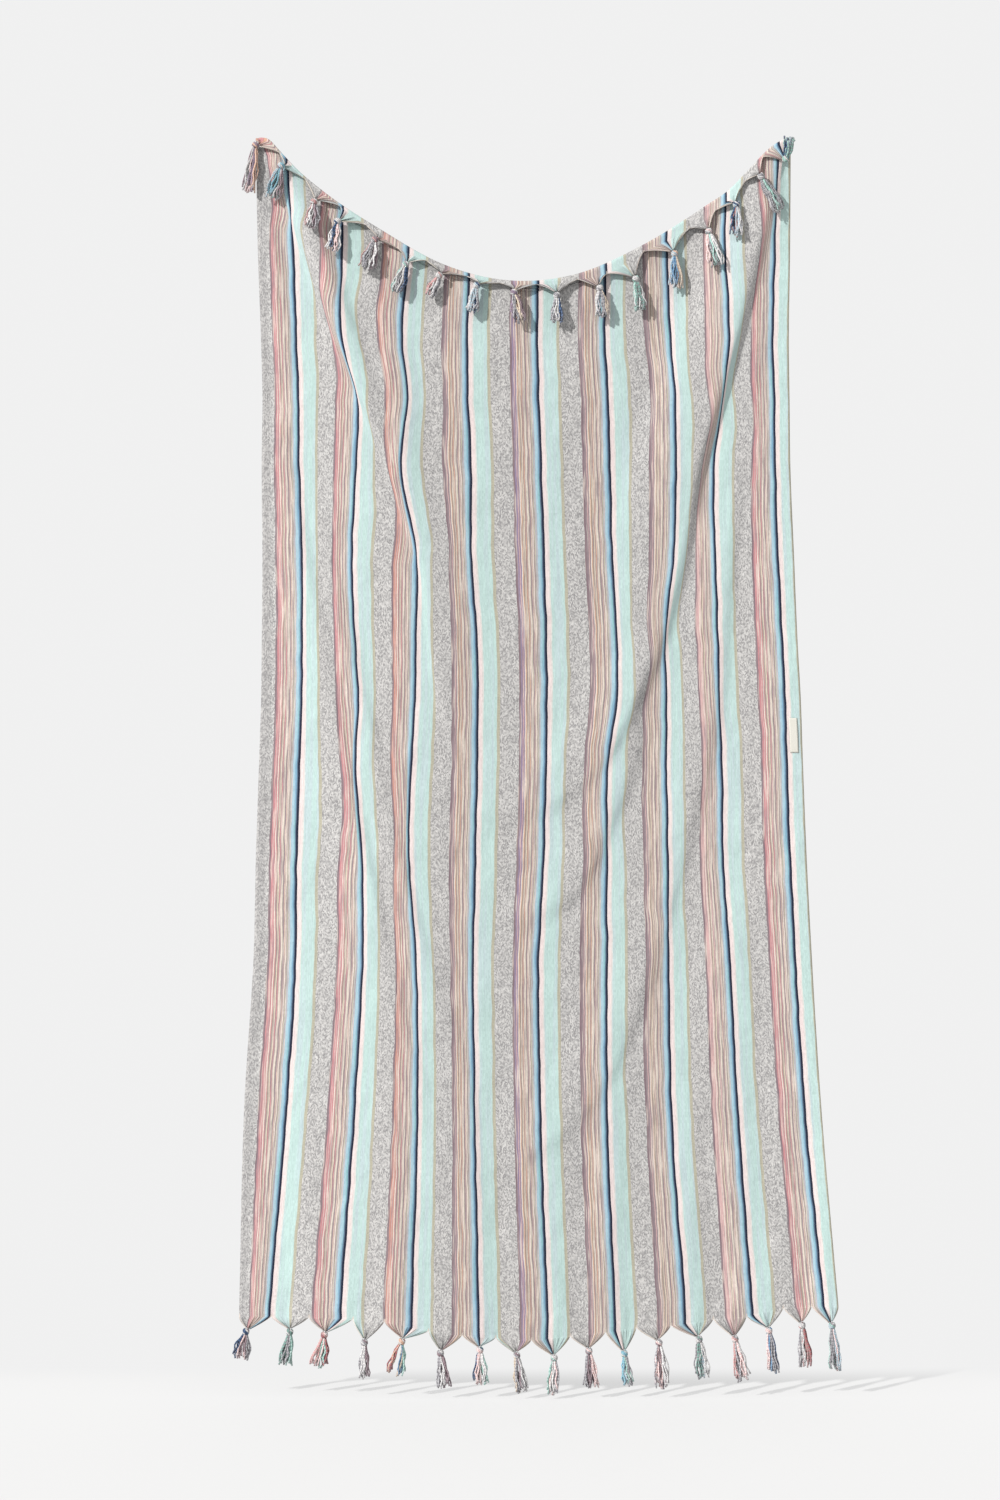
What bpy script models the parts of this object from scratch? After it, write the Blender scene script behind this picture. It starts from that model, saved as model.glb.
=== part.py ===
"""Hammam towel, hanging from its two top corners.

One flat woven cloth of 950 x 1800 mm. Its upper end is turned over to the front as a short flap, and the
cloth between the two held corners sags, so the top edge is a low curve and the folds run from the corners
down in nested swags. Both ends are gathered into 17 points, each ending in a knotted tassel. A small woven
label is sewn on near the right selvage.

Frame: metres, Z up, the front of the towel faces -Y. The origin is the middle of the line between the two
held corners. A drop is a depth below that line, so Z = -drop. "Flat" is a distance across the cloth laid
flat, from the left selvage.
"""

import bpy
import numpy as np
from mathutils import Vector
from mathutils.bvhtree import BVHTree

# Sizes of the cloth.
FLAT_WIDTH = 0.950
FIRST_STRIPE = 0.064  # from the left selvage to the first dark stripe
STRIPE_REPEAT = 0.1075  # from one dark stripe to the next
STRIPE_COUNT = 9
CLOTH_THICKNESS = 0.0016

# The turn at the top, where the flap comes over to the front.
TURN_RADIUS_AT_CORNER = 0.0030
TURN_RADIUS_AT_MIDDLE = 0.0050

# Knots and tassels.
KNOT_RADIUS = 0.0055
SEAT_GAP = 0.00050  # between a point of the cloth and its knot
POINT_END_WIDTH = 0.0065  # the gathered cloth where it enters the knot
KNOT_PROUD = 0.0045  # how far a top knot stands in front of the flap's turn
SKIRT_PROUD = 0.0065
STANDING_PROUD = 0.0120  # the last top tassel stands up, in front of its own point

# The sewn-on label.
LABEL_WIDTH = 0.0125
LABEL_HEIGHT = 0.052
LABEL_THICKNESS = 0.0006
LABEL_GAP = 0.0004
LABEL_X = 0.4052
LABEL_DROP = 0.8950
LABEL_LEAN = 0.045  # sideways run for each metre down, the same as the selvage beside it

# Fineness of the mesh.
STEPS_PER_POINT = 3
BODY_ROWS = 20
TURN_STEPS = 4
TAPER_ROWS = 3
FOLD_PIECES = 24
TASSEL_SIDES = 7

# How fast a point narrows towards its knot: below 1 is an arch between knots, above 1 a full leaf.
TOP_POINT_POWER = 0.75
BOTTOM_POINT_POWER = 1.3

# Where the stripes hang. Columns: drop, x of the left selvage, x of dark stripes 1 to 9, x of the right
# selvage.
STRIPE_LINES = (
    (0.002, -0.401, -0.356, -0.269, -0.172, -0.080, 0.023, 0.124, 0.215, 0.307, 0.382, 0.401),
    (0.167, -0.398, -0.345, -0.271, -0.172, -0.080, 0.023, 0.124, 0.215, 0.302, 0.377, 0.400),
    (0.310, -0.393, -0.340, -0.270, -0.181, -0.084, 0.021, 0.122, 0.221, 0.307, 0.374, 0.398),
    (0.392, -0.391, -0.337, -0.248, -0.173, -0.083, 0.023, 0.127, 0.227, 0.298, 0.376, 0.399),
    (0.482, -0.392, -0.336, -0.250, -0.183, -0.079, 0.026, 0.129, 0.228, 0.286, 0.377, 0.400),
    (0.632, -0.391, -0.331, -0.257, -0.159, -0.078, 0.031, 0.133, 0.224, 0.287, 0.382, 0.406),
    (0.752, -0.392, -0.331, -0.252, -0.161, -0.070, 0.034, 0.140, 0.212, 0.291, 0.388, 0.411),
    (0.842, -0.393, -0.332, -0.247, -0.162, -0.068, 0.035, 0.139, 0.214, 0.293, 0.392, 0.416),
    (0.932, -0.396, -0.335, -0.251, -0.167, -0.069, 0.034, 0.127, 0.214, 0.297, 0.395, 0.419),
    (1.082, -0.401, -0.340, -0.241, -0.171, -0.072, 0.030, 0.125, 0.216, 0.299, 0.400, 0.425),
    (1.217, -0.404, -0.341, -0.240, -0.161, -0.075, 0.023, 0.125, 0.217, 0.308, 0.407, 0.432),
    (1.442, -0.418, -0.354, -0.252, -0.158, -0.073, 0.025, 0.125, 0.221, 0.320, 0.421, 0.446),
    (1.757, -0.426, -0.381, -0.274, -0.167, -0.067, 0.036, 0.137, 0.242, 0.343, 0.451, 0.473),
)

# The sagging top edge. Columns: x, drop.
TOP_EDGE = (
    (-0.404, 0.000),
    (-0.380, 0.004),
    (-0.368, 0.017),
    (-0.340, 0.047),
    (-0.302, 0.079),
    (-0.215, 0.137),
    (-0.118, 0.191),
    (-0.016, 0.215),
    (0.079, 0.205),
    (0.179, 0.161),
    (0.275, 0.101),
    (0.310, 0.077),
    (0.340, 0.046),
    (0.368, 0.017),
    (0.388, 0.004),
    (0.404, 0.000),
)

# The top points and tassels, left to right. Columns: where the point ends across the flat cloth, how far
# the notch after it lies below the top edge, knot x, knot drop, tip x, tip drop, yarn.
TOP_POINTS = (
    (0.051, 0.004, -0.401, 0.012, -0.413, 0.086, "rose"),
    (0.097, 0.004, -0.362, 0.044, -0.377, 0.094, "blue"),
    (0.166, 0.004, -0.313, 0.098, -0.317, 0.140, "coral"),
    (0.209, 0.007, -0.278, 0.127, -0.286, 0.173, "blue"),
    (0.262, 0.013, -0.222, 0.154, -0.236, 0.200, "coral"),
    (0.309, 0.007, -0.176, 0.191, -0.191, 0.235, "blue"),
    (0.379, 0.006, -0.126, 0.208, -0.143, 0.241, "coral"),
    (0.433, 0.006, -0.070, 0.223, -0.080, 0.265, "grey"),
    (0.490, 0.006, -0.014, 0.233, -0.004, 0.281, "rose"),
    (0.556, 0.009, 0.050, 0.238, 0.049, 0.281, "grey"),
    (0.603, 0.017, 0.114, 0.227, 0.118, 0.272, "grey"),
    (0.668, 0.011, 0.168, 0.213, 0.175, 0.262, "mint"),
    (0.749, 0.018, 0.226, 0.175, 0.229, 0.229, "blue"),
    (0.795, 0.017, 0.277, 0.142, 0.289, 0.197, "rose"),
    (0.855, 0.012, 0.318, 0.102, 0.318, 0.152, "blue"),
    (0.892, 0.004, 0.355, 0.060, 0.384, 0.113, "grey"),
    (0.950, 0.004, 0.392, 0.034, 0.398, 0.001, "blue"),
)

# The bottom points and tassels, left to right. Columns: where the point ends across the flat cloth, drop of
# the notch after it, knot x, knot drop, tip x, tip drop, yarn.
BOTTOM_CORNER_DROP = 1.766
BOTTOM_POINTS = (
    (0.067, 1.766, -0.416, 1.789, -0.425, 1.831, "blue"),
    (0.125, 1.766, -0.350, 1.789, -0.358, 1.840, "mint"),
    (0.190, 1.769, -0.298, 1.793, -0.308, 1.843, "coral"),
    (0.238, 1.772, -0.238, 1.804, -0.239, 1.859, "grey"),
    (0.306, 1.786, -0.182, 1.802, -0.194, 1.853, "coral"),
    (0.360, 1.792, -0.124, 1.819, -0.119, 1.873, "grey"),
    (0.413, 1.796, -0.065, 1.814, -0.064, 1.868, "mint"),
    (0.469, 1.799, -0.010, 1.822, -0.002, 1.880, "grey"),
    (0.530, 1.793, 0.046, 1.826, 0.043, 1.882, "rose"),
    (0.586, 1.787, 0.098, 1.816, 0.103, 1.874, "grey"),
    (0.635, 1.781, 0.151, 1.820, 0.157, 1.870, "blue"),
    (0.687, 1.778, 0.203, 1.804, 0.208, 1.873, "rose"),
    (0.755, 1.769, 0.263, 1.799, 0.268, 1.859, "mint"),
    (0.807, 1.765, 0.317, 1.799, 0.329, 1.864, "coral"),
    (0.863, 1.753, 0.368, 1.787, 0.376, 1.853, "blue"),
    (0.906, 1.751, 0.418, 1.780, 0.424, 1.844, "coral"),
    (0.950, 1.751, 0.463, 1.780, 0.469, 1.850, "mint"),
)

# The folds. Columns: name, side of the path that is steep (1 is the viewer's right going down it), run of
# the steep flank, run of the gentle flank, path. A path's columns: x, drop, height of the fold there.
FOLDS = (
    ("main_right", 1, 0.022, 0.110, (
        (0.394, 0.020, 0.004), (0.343, 0.227, 0.013), (0.307, 0.362, 0.015), (0.271, 0.481, 0.015),
        (0.235, 0.671, 0.010), (0.175, 0.842, 0.008), (0.107, 0.955, 0.006), (0.032, 1.010, 0.004),
        (-0.050, 1.022, 0.002), (-0.125, 1.025, 0.000))),
    ("main_left", -1, 0.011, 0.100, (
        (-0.389, 0.020, 0.004), (-0.336, 0.152, 0.008), (-0.287, 0.287, 0.011), (-0.249, 0.380, 0.010),
        (-0.200, 0.509, 0.006), (-0.160, 0.622, 0.005), (-0.131, 0.827, 0.004), (-0.105, 0.925, 0.003),
        (-0.073, 0.992, 0.000))),
    ("branch", 1, 0.024, 0.070, (
        (0.197, 0.752, 0.000), (0.175, 0.844, 0.005), (0.170, 0.934, 0.005), (0.134, 1.025, 0.006),
        (0.080, 1.133, 0.005), (0.035, 1.165, 0.004), (-0.050, 1.187, 0.000))),
    ("outer_right", 1, 0.026, 0.090, (
        (0.332, 0.422, 0.000), (0.316, 0.607, 0.005), (0.293, 0.862, 0.005), (0.253, 1.043, 0.005),
        (0.212, 1.189, 0.005), (0.170, 1.324, 0.005), (0.115, 1.435, 0.005), (0.035, 1.514, 0.004),
        (-0.035, 1.550, 0.002), (-0.110, 1.562, 0.000))),
    ("edge_right", 1, 0.040, 0.080, (
        (0.385, 0.062, 0.003), (0.367, 0.242, 0.004), (0.358, 0.422, 0.003), (0.355, 0.632, 0.000))),
    ("outer_left", 1, 0.022, 0.070, (
        (-0.368, 0.362, 0.000), (-0.328, 0.589, 0.004), (-0.292, 0.770, 0.005), (-0.260, 0.952, 0.005),
        (-0.229, 1.079, 0.005), (-0.193, 1.243, 0.004), (-0.163, 1.367, 0.003), (-0.074, 1.561, 0.000))),
    ("inner_left", 1, 0.022, 0.060, (
        (-0.298, 0.542, 0.000), (-0.269, 0.698, 0.003), (-0.224, 0.880, 0.004), (-0.175, 1.106, 0.004),
        (-0.128, 1.261, 0.004), (-0.074, 1.424, 0.003), (-0.067, 1.532, 0.002), (-0.065, 1.652, 0.000))),
    ("neck_left_one", 1, 0.020, 0.036, (
        (-0.358, 0.040, 0.002), (-0.308, 0.137, 0.004), (-0.268, 0.242, 0.005), (-0.227, 0.362, 0.003),
        (-0.197, 0.467, 0.000))),
    ("neck_left_two", -1, 0.022, 0.040, (
        (-0.373, 0.040, 0.002), (-0.335, 0.130, 0.004), (-0.311, 0.227, 0.004), (-0.283, 0.347, 0.002),
        (-0.260, 0.437, 0.000))),
    ("neck_left_three", 1, 0.020, 0.032, (
        (-0.383, 0.047, 0.002), (-0.368, 0.152, 0.004), (-0.350, 0.287, 0.003), (-0.335, 0.422, 0.000))),
    ("pleat_left", -1, 0.022, 0.040, (
        (-0.302, 0.092, 0.001), (-0.227, 0.242, 0.003), (-0.197, 0.407, 0.004), (-0.182, 0.542, 0.002),
        (-0.173, 0.632, 0.000))),
    ("low_right", 1, 0.060, 0.090, (
        (0.343, 1.082, 0.000), (0.340, 1.232, 0.003), (0.328, 1.382, 0.004), (0.332, 1.532, 0.003),
        (0.355, 1.682, 0.000))),
    ("inside_right", -1, 0.040, 0.080, (
        (0.295, 0.115, 0.002), (0.250, 0.242, 0.003), (0.197, 0.392, 0.005), (0.152, 0.542, 0.004),
        (0.115, 0.677, 0.000))),
)
BELLY_HEIGHT = 0.016  # the middle of the cloth hangs this far in front of its selvages
BELLY_HALF_WIDTH = 0.450
BELLY_FULL_DROP = 0.500

# Shallow flutes near the bottom. Columns: height, wave length, phase in turns.
FLUTES = ((0.0012, 0.110, 0.10), (0.0008, 0.065, 0.33))
FLUTES_START = 1.200
FLUTES_FULL = 1.700

# A tassel from the top of its knot to the tip. Columns: distance past the knot's middle in knot radii,
# share of the skirt's length, half width, half depth.
TASSEL_RINGS = (
    (-0.92, 0.00, 0.0026, 0.0026),
    (-0.40, 0.00, 0.0050, 0.0050),
    (0.35, 0.00, 0.0054, 0.0052),
    (0.95, 0.00, 0.0036, 0.0034),
    (0.00, 0.60, 0.0078, 0.0042),
    (0.00, 1.00, 0.0112, 0.0034),
)

CLOTH_COLOUR = (0.60, 0.57, 0.54)
LABEL_COLOUR = (0.83, 0.79, 0.70)
YARN_COLOURS = {
    "blue": (0.10, 0.17, 0.33),
    "coral": (0.66, 0.25, 0.20),
    "grey": (0.42, 0.41, 0.42),
    "mint": (0.48, 0.72, 0.66),
    "rose": (0.60, 0.38, 0.44),
}


def clear_scene():
    for thing in list(bpy.data.objects):
        bpy.data.objects.remove(thing, do_unlink=True)


def fabric_material(name, colour, roughness):
    material = bpy.data.materials.new(name)
    material.use_nodes = True
    shader = material.node_tree.nodes["Principled BSDF"]
    shader.inputs["Base Color"].default_value = (*colour, 1.0)
    shader.inputs["Roughness"].default_value = roughness
    return material


def cloth_material():
    return fabric_material("striped_cloth", CLOTH_COLOUR, 0.90)


def label_material():
    return fabric_material("label_tape", LABEL_COLOUR, 0.70)


def yarn_materials():
    return {name: fabric_material("yarn_" + name, colour, 0.90) for name, colour in YARN_COLOURS.items()}


def ease(share):
    share = np.clip(share, 0.0, 1.0)
    return share * share * (3.0 - 2.0 * share)


def spline(at, stations, values):
    """A smooth curve through values at stations, read at each number of at."""
    stations = np.asarray(stations, float)
    values = np.asarray(values, float)
    at = np.asarray(at, float)
    slopes = np.gradient(values, stations, axis=0)
    i = np.clip(np.searchsorted(stations, at) - 1, 0, len(stations) - 2)
    step = stations[i + 1] - stations[i]
    t = np.clip((at - stations[i]) / step, 0.0, 1.0)
    if values.ndim > 1:
        step = step[..., None]
        t = t[..., None]
    rise = t * t * (3.0 - 2.0 * t)
    start_slope = t * (1.0 - t) ** 2 * step * slopes[i]
    end_slope = t * t * (t - 1.0) * step * slopes[i + 1]
    return values[i] * (1.0 - rise) + values[i + 1] * rise + start_slope + end_slope


def stripe_flats():
    dark = [FIRST_STRIPE + STRIPE_REPEAT * k for k in range(STRIPE_COUNT)]
    return np.array([0.0, *dark, FLAT_WIDTH])


def x_of(flat, drop):
    """Where a lengthwise thread of the cloth hangs at a drop."""
    flat = np.asarray(flat, float)
    table = np.array(STRIPE_LINES)
    lines = spline(drop, table[:, 0], table[:, 1:])
    flats = stripe_flats()
    i = np.clip(np.searchsorted(flats, flat, side="right") - 1, 0, len(flats) - 2)
    share = (flat - flats[i]) / (flats[i + 1] - flats[i])
    left = np.take_along_axis(lines, i[..., None], axis=-1)[..., 0]
    right = np.take_along_axis(lines, i[..., None] + 1, axis=-1)[..., 0]
    return left + (right - left) * share


def top_drop_of(flat):
    """The drop of the top edge at a lengthwise thread, found by stepping between the two tables."""
    table = np.array(TOP_EDGE)
    drop = np.full(np.shape(flat), 0.1)
    for _ in range(12):
        drop = spline(x_of(flat, drop), table[:, 0], table[:, 1])
    return drop


def fold_height(x, drop, side, steep, gentle, path):
    """How far one fold lifts the cloth: full height along its crest, down to nothing on both flanks."""
    path = np.array(path)
    steps = np.hypot(np.diff(path[:, 0]), np.diff(path[:, 1]))
    run = np.concatenate([[0.0], np.cumsum(steps)])
    points = spline(np.linspace(0.0, run[-1], FOLD_PIECES + 1), run, path)
    nearest = np.full(x.shape, np.inf)
    offset = np.zeros(x.shape)
    height = np.zeros(x.shape)
    for start, end in zip(points[:-1], points[1:]):
        along = end[:2] - start[:2]
        length = np.hypot(*along)
        share = ((x - start[0]) * along[0] + (drop - start[1]) * along[1]) / length**2
        share = np.clip(share, 0.0, 1.0)
        from_x = x - start[0] - share * along[0]
        from_drop = drop - start[1] - share * along[1]
        distance = np.hypot(from_x, from_drop)
        to_right = from_x * along[1] - from_drop * along[0] > 0.0
        closer = distance < nearest
        offset = np.where(closer, np.where(to_right, distance, -distance), offset)
        height = np.where(closer, start[2] + share * (end[2] - start[2]), height)
        nearest = np.minimum(nearest, distance)
    offset = offset * side
    on_steep = 0.5 - 0.5 * np.sin(np.pi * np.clip(offset / steep, -0.5, 0.5))
    on_gentle = 0.5 + 0.5 * np.cos(np.pi * np.clip((-offset - steep / 2) / gentle, 0.0, 1.0))
    return np.maximum(height, 0.0) * np.minimum(on_steep, on_gentle)


def front_of(x, drop):
    """How far the cloth hangs in front of the line between its held corners."""
    x = np.asarray(x, float)
    drop = np.asarray(drop, float)
    front = np.zeros(x.shape)
    for _, side, steep, gentle, path in FOLDS:
        front = front + fold_height(x, drop, side, steep, gentle, path)
    belly = np.cos(np.clip(x / BELLY_HALF_WIDTH, -1.0, 1.0) * np.pi / 2)
    front = front + BELLY_HEIGHT * belly * ease(drop / BELLY_FULL_DROP)
    low = ease((drop - FLUTES_START) / (FLUTES_FULL - FLUTES_START))
    for height, wave, phase in FLUTES:
        front = front + low * height * np.sin(2 * np.pi * (x / wave + phase))
    return front


def turn_radius_of(flat):
    middle = np.sin(np.pi * np.asarray(flat) / FLAT_WIDTH)
    return TURN_RADIUS_AT_CORNER + (TURN_RADIUS_AT_MIDDLE - TURN_RADIUS_AT_CORNER) * middle


def point_columns(ends):
    """The flat positions of the mesh's columns: each point of the cloth is cut into the same few steps."""
    marks = np.concatenate([[0.0], ends])
    index = np.arange(len(marks))
    steps = np.arange(len(ends) * STEPS_PER_POINT + 1) / STEPS_PER_POINT
    return np.interp(steps, index, marks)


def placed(x, front, drop):
    return np.stack(np.broadcast_arrays(x, -np.asarray(front), -np.asarray(drop)), axis=-1)


class ClothSheet:
    """The mid-surface of the cloth, collected as points and quads."""

    def __init__(self):
        self.points = []
        self.faces = []

    def add_row(self, row):
        first = len(self.points)
        self.points.extend(tuple(map(float, point)) for point in row)
        return np.arange(first, len(self.points))

    def join_rows(self, upper, lower):
        """Quads between two rows of the same length, facing the front when lower lies below upper."""
        for j in range(len(upper) - 1):
            self.faces.append((upper[j], lower[j], lower[j + 1], upper[j + 1]))

    def add_point(self, row_ids, knot, seat, power):
        """A gathered point of the cloth, from its share of a notch row down to its knot."""
        row = np.array([self.points[i] for i in row_ids])
        middle = row.mean(axis=0)
        across = np.cross(seat - middle, (0.0, 1.0, 0.0))
        across /= np.linalg.norm(across)
        if np.dot(across, row[-1] - row[0]) < 0.0:
            across = -across
        spread = np.linspace(-0.5, 0.5, len(row))[:, None] * POINT_END_WIDTH
        above = row_ids
        for step in range(1, TAPER_ROWS + 1):
            share = step / TAPER_ROWS
            gathered = share**power
            line = middle + (seat - middle) * share
            below = self.add_row(line + (row - middle) * (1.0 - gathered) + across * spread * gathered)
            self.join_rows(above, below)
            above = below


def top_knot(point):
    """(knot, tip, stands) of a top point: its tassel either hangs or stands up."""
    end, _, knot_x, knot_drop, tip_x, tip_drop, _ = point
    turn = 2.0 * turn_radius_of(end)
    stands = tip_drop < knot_drop
    knot_front = front_of(knot_x, knot_drop) + turn + (STANDING_PROUD if stands else KNOT_PROUD)
    tip_front = front_of(tip_x, tip_drop) + turn + (STANDING_PROUD if stands else 0.0) + SKIRT_PROUD
    return placed(knot_x, knot_front, knot_drop), placed(tip_x, tip_front, tip_drop), stands


def bottom_knot(point):
    _, _, knot_x, knot_drop, tip_x, tip_drop, _ = point
    front = front_of(knot_x, knot_drop)
    return placed(knot_x, front, knot_drop), placed(tip_x, front, tip_drop), False


def seat_of(row, knot, stands):
    """Where the gathered cloth ends: short of its knot, or behind a knot whose tassel stands up."""
    if stands:
        return knot + np.array((0.0, KNOT_RADIUS + CLOTH_THICKNESS / 2, 0.0))
    towards = knot - np.array(row).mean(axis=0)
    towards /= np.linalg.norm(towards)
    return knot - towards * (KNOT_RADIUS + SEAT_GAP)


def cloth_sheet():
    top_flat = point_columns([point[0] for point in TOP_POINTS])
    bottom_flat = point_columns([point[0] for point in BOTTOM_POINTS])
    notch_marks = np.concatenate([[0.0], [point[0] for point in TOP_POINTS]])
    notch_depths = np.array([TOP_POINTS[0][1]] + [point[1] for point in TOP_POINTS])
    bottom_marks = np.concatenate([[0.0], [point[0] for point in BOTTOM_POINTS]])
    bottom_drops = np.array([BOTTOM_CORNER_DROP] + [point[1] for point in BOTTOM_POINTS])

    radius = turn_radius_of(top_flat)
    top_drop = top_drop_of(top_flat)
    top_x = x_of(top_flat, top_drop)
    top_front = front_of(top_x, top_drop + radius)

    sheet = ClothSheet()
    notch_drop = top_drop + np.interp(top_flat, notch_marks, notch_depths)
    notch_front = front_of(top_x, notch_drop) + 2.0 * radius
    notch_row = sheet.add_row(placed(top_x, notch_front, notch_drop))
    below = notch_row
    for step in range(TURN_STEPS + 1):
        angle = np.pi * (1.0 - step / TURN_STEPS)
        front = top_front + radius * (1.0 - np.cos(angle))
        drop = top_drop + radius * (1.0 - np.sin(angle))
        row = sheet.add_row(placed(top_x, front, drop))
        sheet.join_rows(row, below)
        below = row

    start_drop = top_drop + radius
    end_drop = np.interp(bottom_flat, bottom_marks, bottom_drops)
    above = below
    for step in range(1, BODY_ROWS + 1):
        share = step / BODY_ROWS
        flat = top_flat + (bottom_flat - top_flat) * share
        drop = start_drop + (end_drop - start_drop) * share
        x = x_of(flat, drop)
        row = sheet.add_row(placed(x, front_of(x, drop), drop))
        # This side of the turn is the back of the rows above it, so the quads keep the same winding.
        sheet.join_rows(row, above)
        above = row

    for number, point in enumerate(TOP_POINTS):
        ids = notch_row[number * STEPS_PER_POINT : (number + 1) * STEPS_PER_POINT + 1]
        knot, _, stands = top_knot(point)
        seat = seat_of([sheet.points[i] for i in ids], knot, stands)
        sheet.add_point(ids, knot, seat, TOP_POINT_POWER)
    for number, point in enumerate(BOTTOM_POINTS):
        ids = above[number * STEPS_PER_POINT : (number + 1) * STEPS_PER_POINT + 1]
        knot, _, stands = bottom_knot(point)
        seat = seat_of([sheet.points[i] for i in ids], knot, stands)
        sheet.add_point(ids[::-1], knot, seat, BOTTOM_POINT_POWER)
    return sheet


def mesh_object(name, points, faces, material):
    mesh = bpy.data.meshes.new(name)
    mesh.from_pydata([tuple(map(float, p)) for p in points], [], [tuple(map(int, f)) for f in faces])
    mesh.materials.append(material)
    mesh.update()
    thing = bpy.data.objects.new(name, mesh)
    bpy.context.scene.collection.objects.link(thing)
    return thing


def smooth(thing):
    for face in thing.data.polygons:
        face.use_smooth = True


def make_cloth(material):
    sheet = cloth_sheet()
    cloth = mesh_object("cloth", sheet.points, sheet.faces, material)
    thicken = cloth.modifiers.new("thickness", "SOLIDIFY")
    thicken.thickness = CLOTH_THICKNESS
    thicken.offset = 0.0
    smooth(cloth)
    return cloth


def make_tassel(name, knot, tip, material):
    """A knot with a flared skirt of yarn: rings from the top of the knot to the tip."""
    axis = tip - knot
    length = np.linalg.norm(axis)
    axis /= length
    across = np.cross(axis, (0.0, 1.0, 0.0))
    across /= np.linalg.norm(across)
    deep = np.cross(across, axis)
    turns = 2.0 * np.pi * np.arange(TASSEL_SIDES) / TASSEL_SIDES
    points = []
    for knot_radii, skirt_share, half_width, half_depth in TASSEL_RINGS:
        middle = knot + axis * (knot_radii * KNOT_RADIUS + skirt_share * length)
        for turn in turns:
            points.append(middle + across * np.cos(turn) * half_width + deep * np.sin(turn) * half_depth)
    faces = []
    for ring in range(len(TASSEL_RINGS) - 1):
        for side in range(TASSEL_SIDES):
            a = ring * TASSEL_SIDES + side
            b = ring * TASSEL_SIDES + (side + 1) % TASSEL_SIDES
            faces.append((a, a + TASSEL_SIDES, b + TASSEL_SIDES, b))
    last = (len(TASSEL_RINGS) - 1) * TASSEL_SIDES
    faces.append(tuple(range(TASSEL_SIDES)))
    faces.append(tuple(reversed(range(last, last + TASSEL_SIDES))))
    tassel = mesh_object(name, points, faces, material)
    smooth(tassel)
    return tassel


def make_label(cloth, material):
    """The label lies on the front of the cloth, which is found by looking at it from the front."""
    bpy.context.view_layer.update()
    tree = BVHTree.FromObject(cloth, bpy.context.evaluated_depsgraph_get())
    rows = 5
    points = []
    for step in range(rows):
        down = (step / (rows - 1) - 0.5) * LABEL_HEIGHT
        for side in (-0.5, 0.5):
            x = LABEL_X + side * LABEL_WIDTH + down * LABEL_LEAN
            drop = LABEL_DROP + down
            hit, _, _, _ = tree.ray_cast(Vector((x, -0.5, -drop)), Vector((0.0, 1.0, 0.0)))
            points.append((x, hit.y - LABEL_GAP - LABEL_THICKNESS, -drop))
    points += [(x, y + LABEL_THICKNESS, z) for x, y, z in points]
    back = rows * 2
    faces = []
    for step in range(rows - 1):
        a = step * 2
        faces.append((a, a + 2, a + 3, a + 1))
        faces.append((back + a, back + a + 1, back + a + 3, back + a + 2))
        faces.append((a, back + a, back + a + 2, a + 2))
        faces.append((a + 1, a + 3, back + a + 3, back + a + 1))
    end = (rows - 1) * 2
    faces.append((0, 1, back + 1, back))
    faces.append((end, back + end, back + end + 1, end + 1))
    return mesh_object("label", points, faces, material)


def build():
    clear_scene()
    cloth = make_cloth(cloth_material())
    yarns = yarn_materials()
    for number, point in enumerate(TOP_POINTS, start=1):
        knot, tip, _ = top_knot(point)
        make_tassel(f"tassel_top_{number:02d}", knot, tip, yarns[point[-1]])
    for number, point in enumerate(BOTTOM_POINTS, start=1):
        knot, tip, _ = bottom_knot(point)
        make_tassel(f"tassel_bottom_{number:02d}", knot, tip, yarns[point[-1]])
    make_label(cloth, label_material())


build()
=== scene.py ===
"""Hammam towel, hanging from its two top corners: the woven cloth, its knotted tassels and its sewn label,
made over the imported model, with a floor, light and a camera.

Frame: metres, Z up, the front of the towel faces -Y. The origin is the middle of the line between the two
held corners. A drop is a depth below that line, so Z = -drop. "Flat" is a distance across the cloth laid
flat, from the left selvage.
"""

import bpy
import numpy as np
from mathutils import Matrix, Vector
from mathutils.bvhtree import BVHTree


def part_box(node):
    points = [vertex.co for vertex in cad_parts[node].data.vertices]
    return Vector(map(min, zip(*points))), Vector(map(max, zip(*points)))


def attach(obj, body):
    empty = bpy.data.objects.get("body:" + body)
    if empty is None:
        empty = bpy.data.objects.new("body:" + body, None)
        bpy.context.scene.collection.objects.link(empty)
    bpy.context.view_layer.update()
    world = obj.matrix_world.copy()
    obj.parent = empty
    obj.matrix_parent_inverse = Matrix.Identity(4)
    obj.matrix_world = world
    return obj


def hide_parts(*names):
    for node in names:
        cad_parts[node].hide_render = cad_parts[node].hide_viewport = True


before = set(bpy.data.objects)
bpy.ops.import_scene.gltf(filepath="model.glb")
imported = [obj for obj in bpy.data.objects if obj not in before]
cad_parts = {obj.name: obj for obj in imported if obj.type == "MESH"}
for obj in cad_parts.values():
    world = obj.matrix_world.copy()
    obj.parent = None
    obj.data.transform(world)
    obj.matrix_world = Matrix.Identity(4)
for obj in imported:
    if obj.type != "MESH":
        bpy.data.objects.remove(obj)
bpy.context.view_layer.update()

bl_info = {
    "name": "Hammam Towel",
    "version": (1, 0, 0),
    "blender": (4, 5, 0),
    "location": "View3D > Sidebar > Towel",
    "description": "Makes a striped hammam towel hanging from its two top corners",
    "category": "Object",
}

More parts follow.
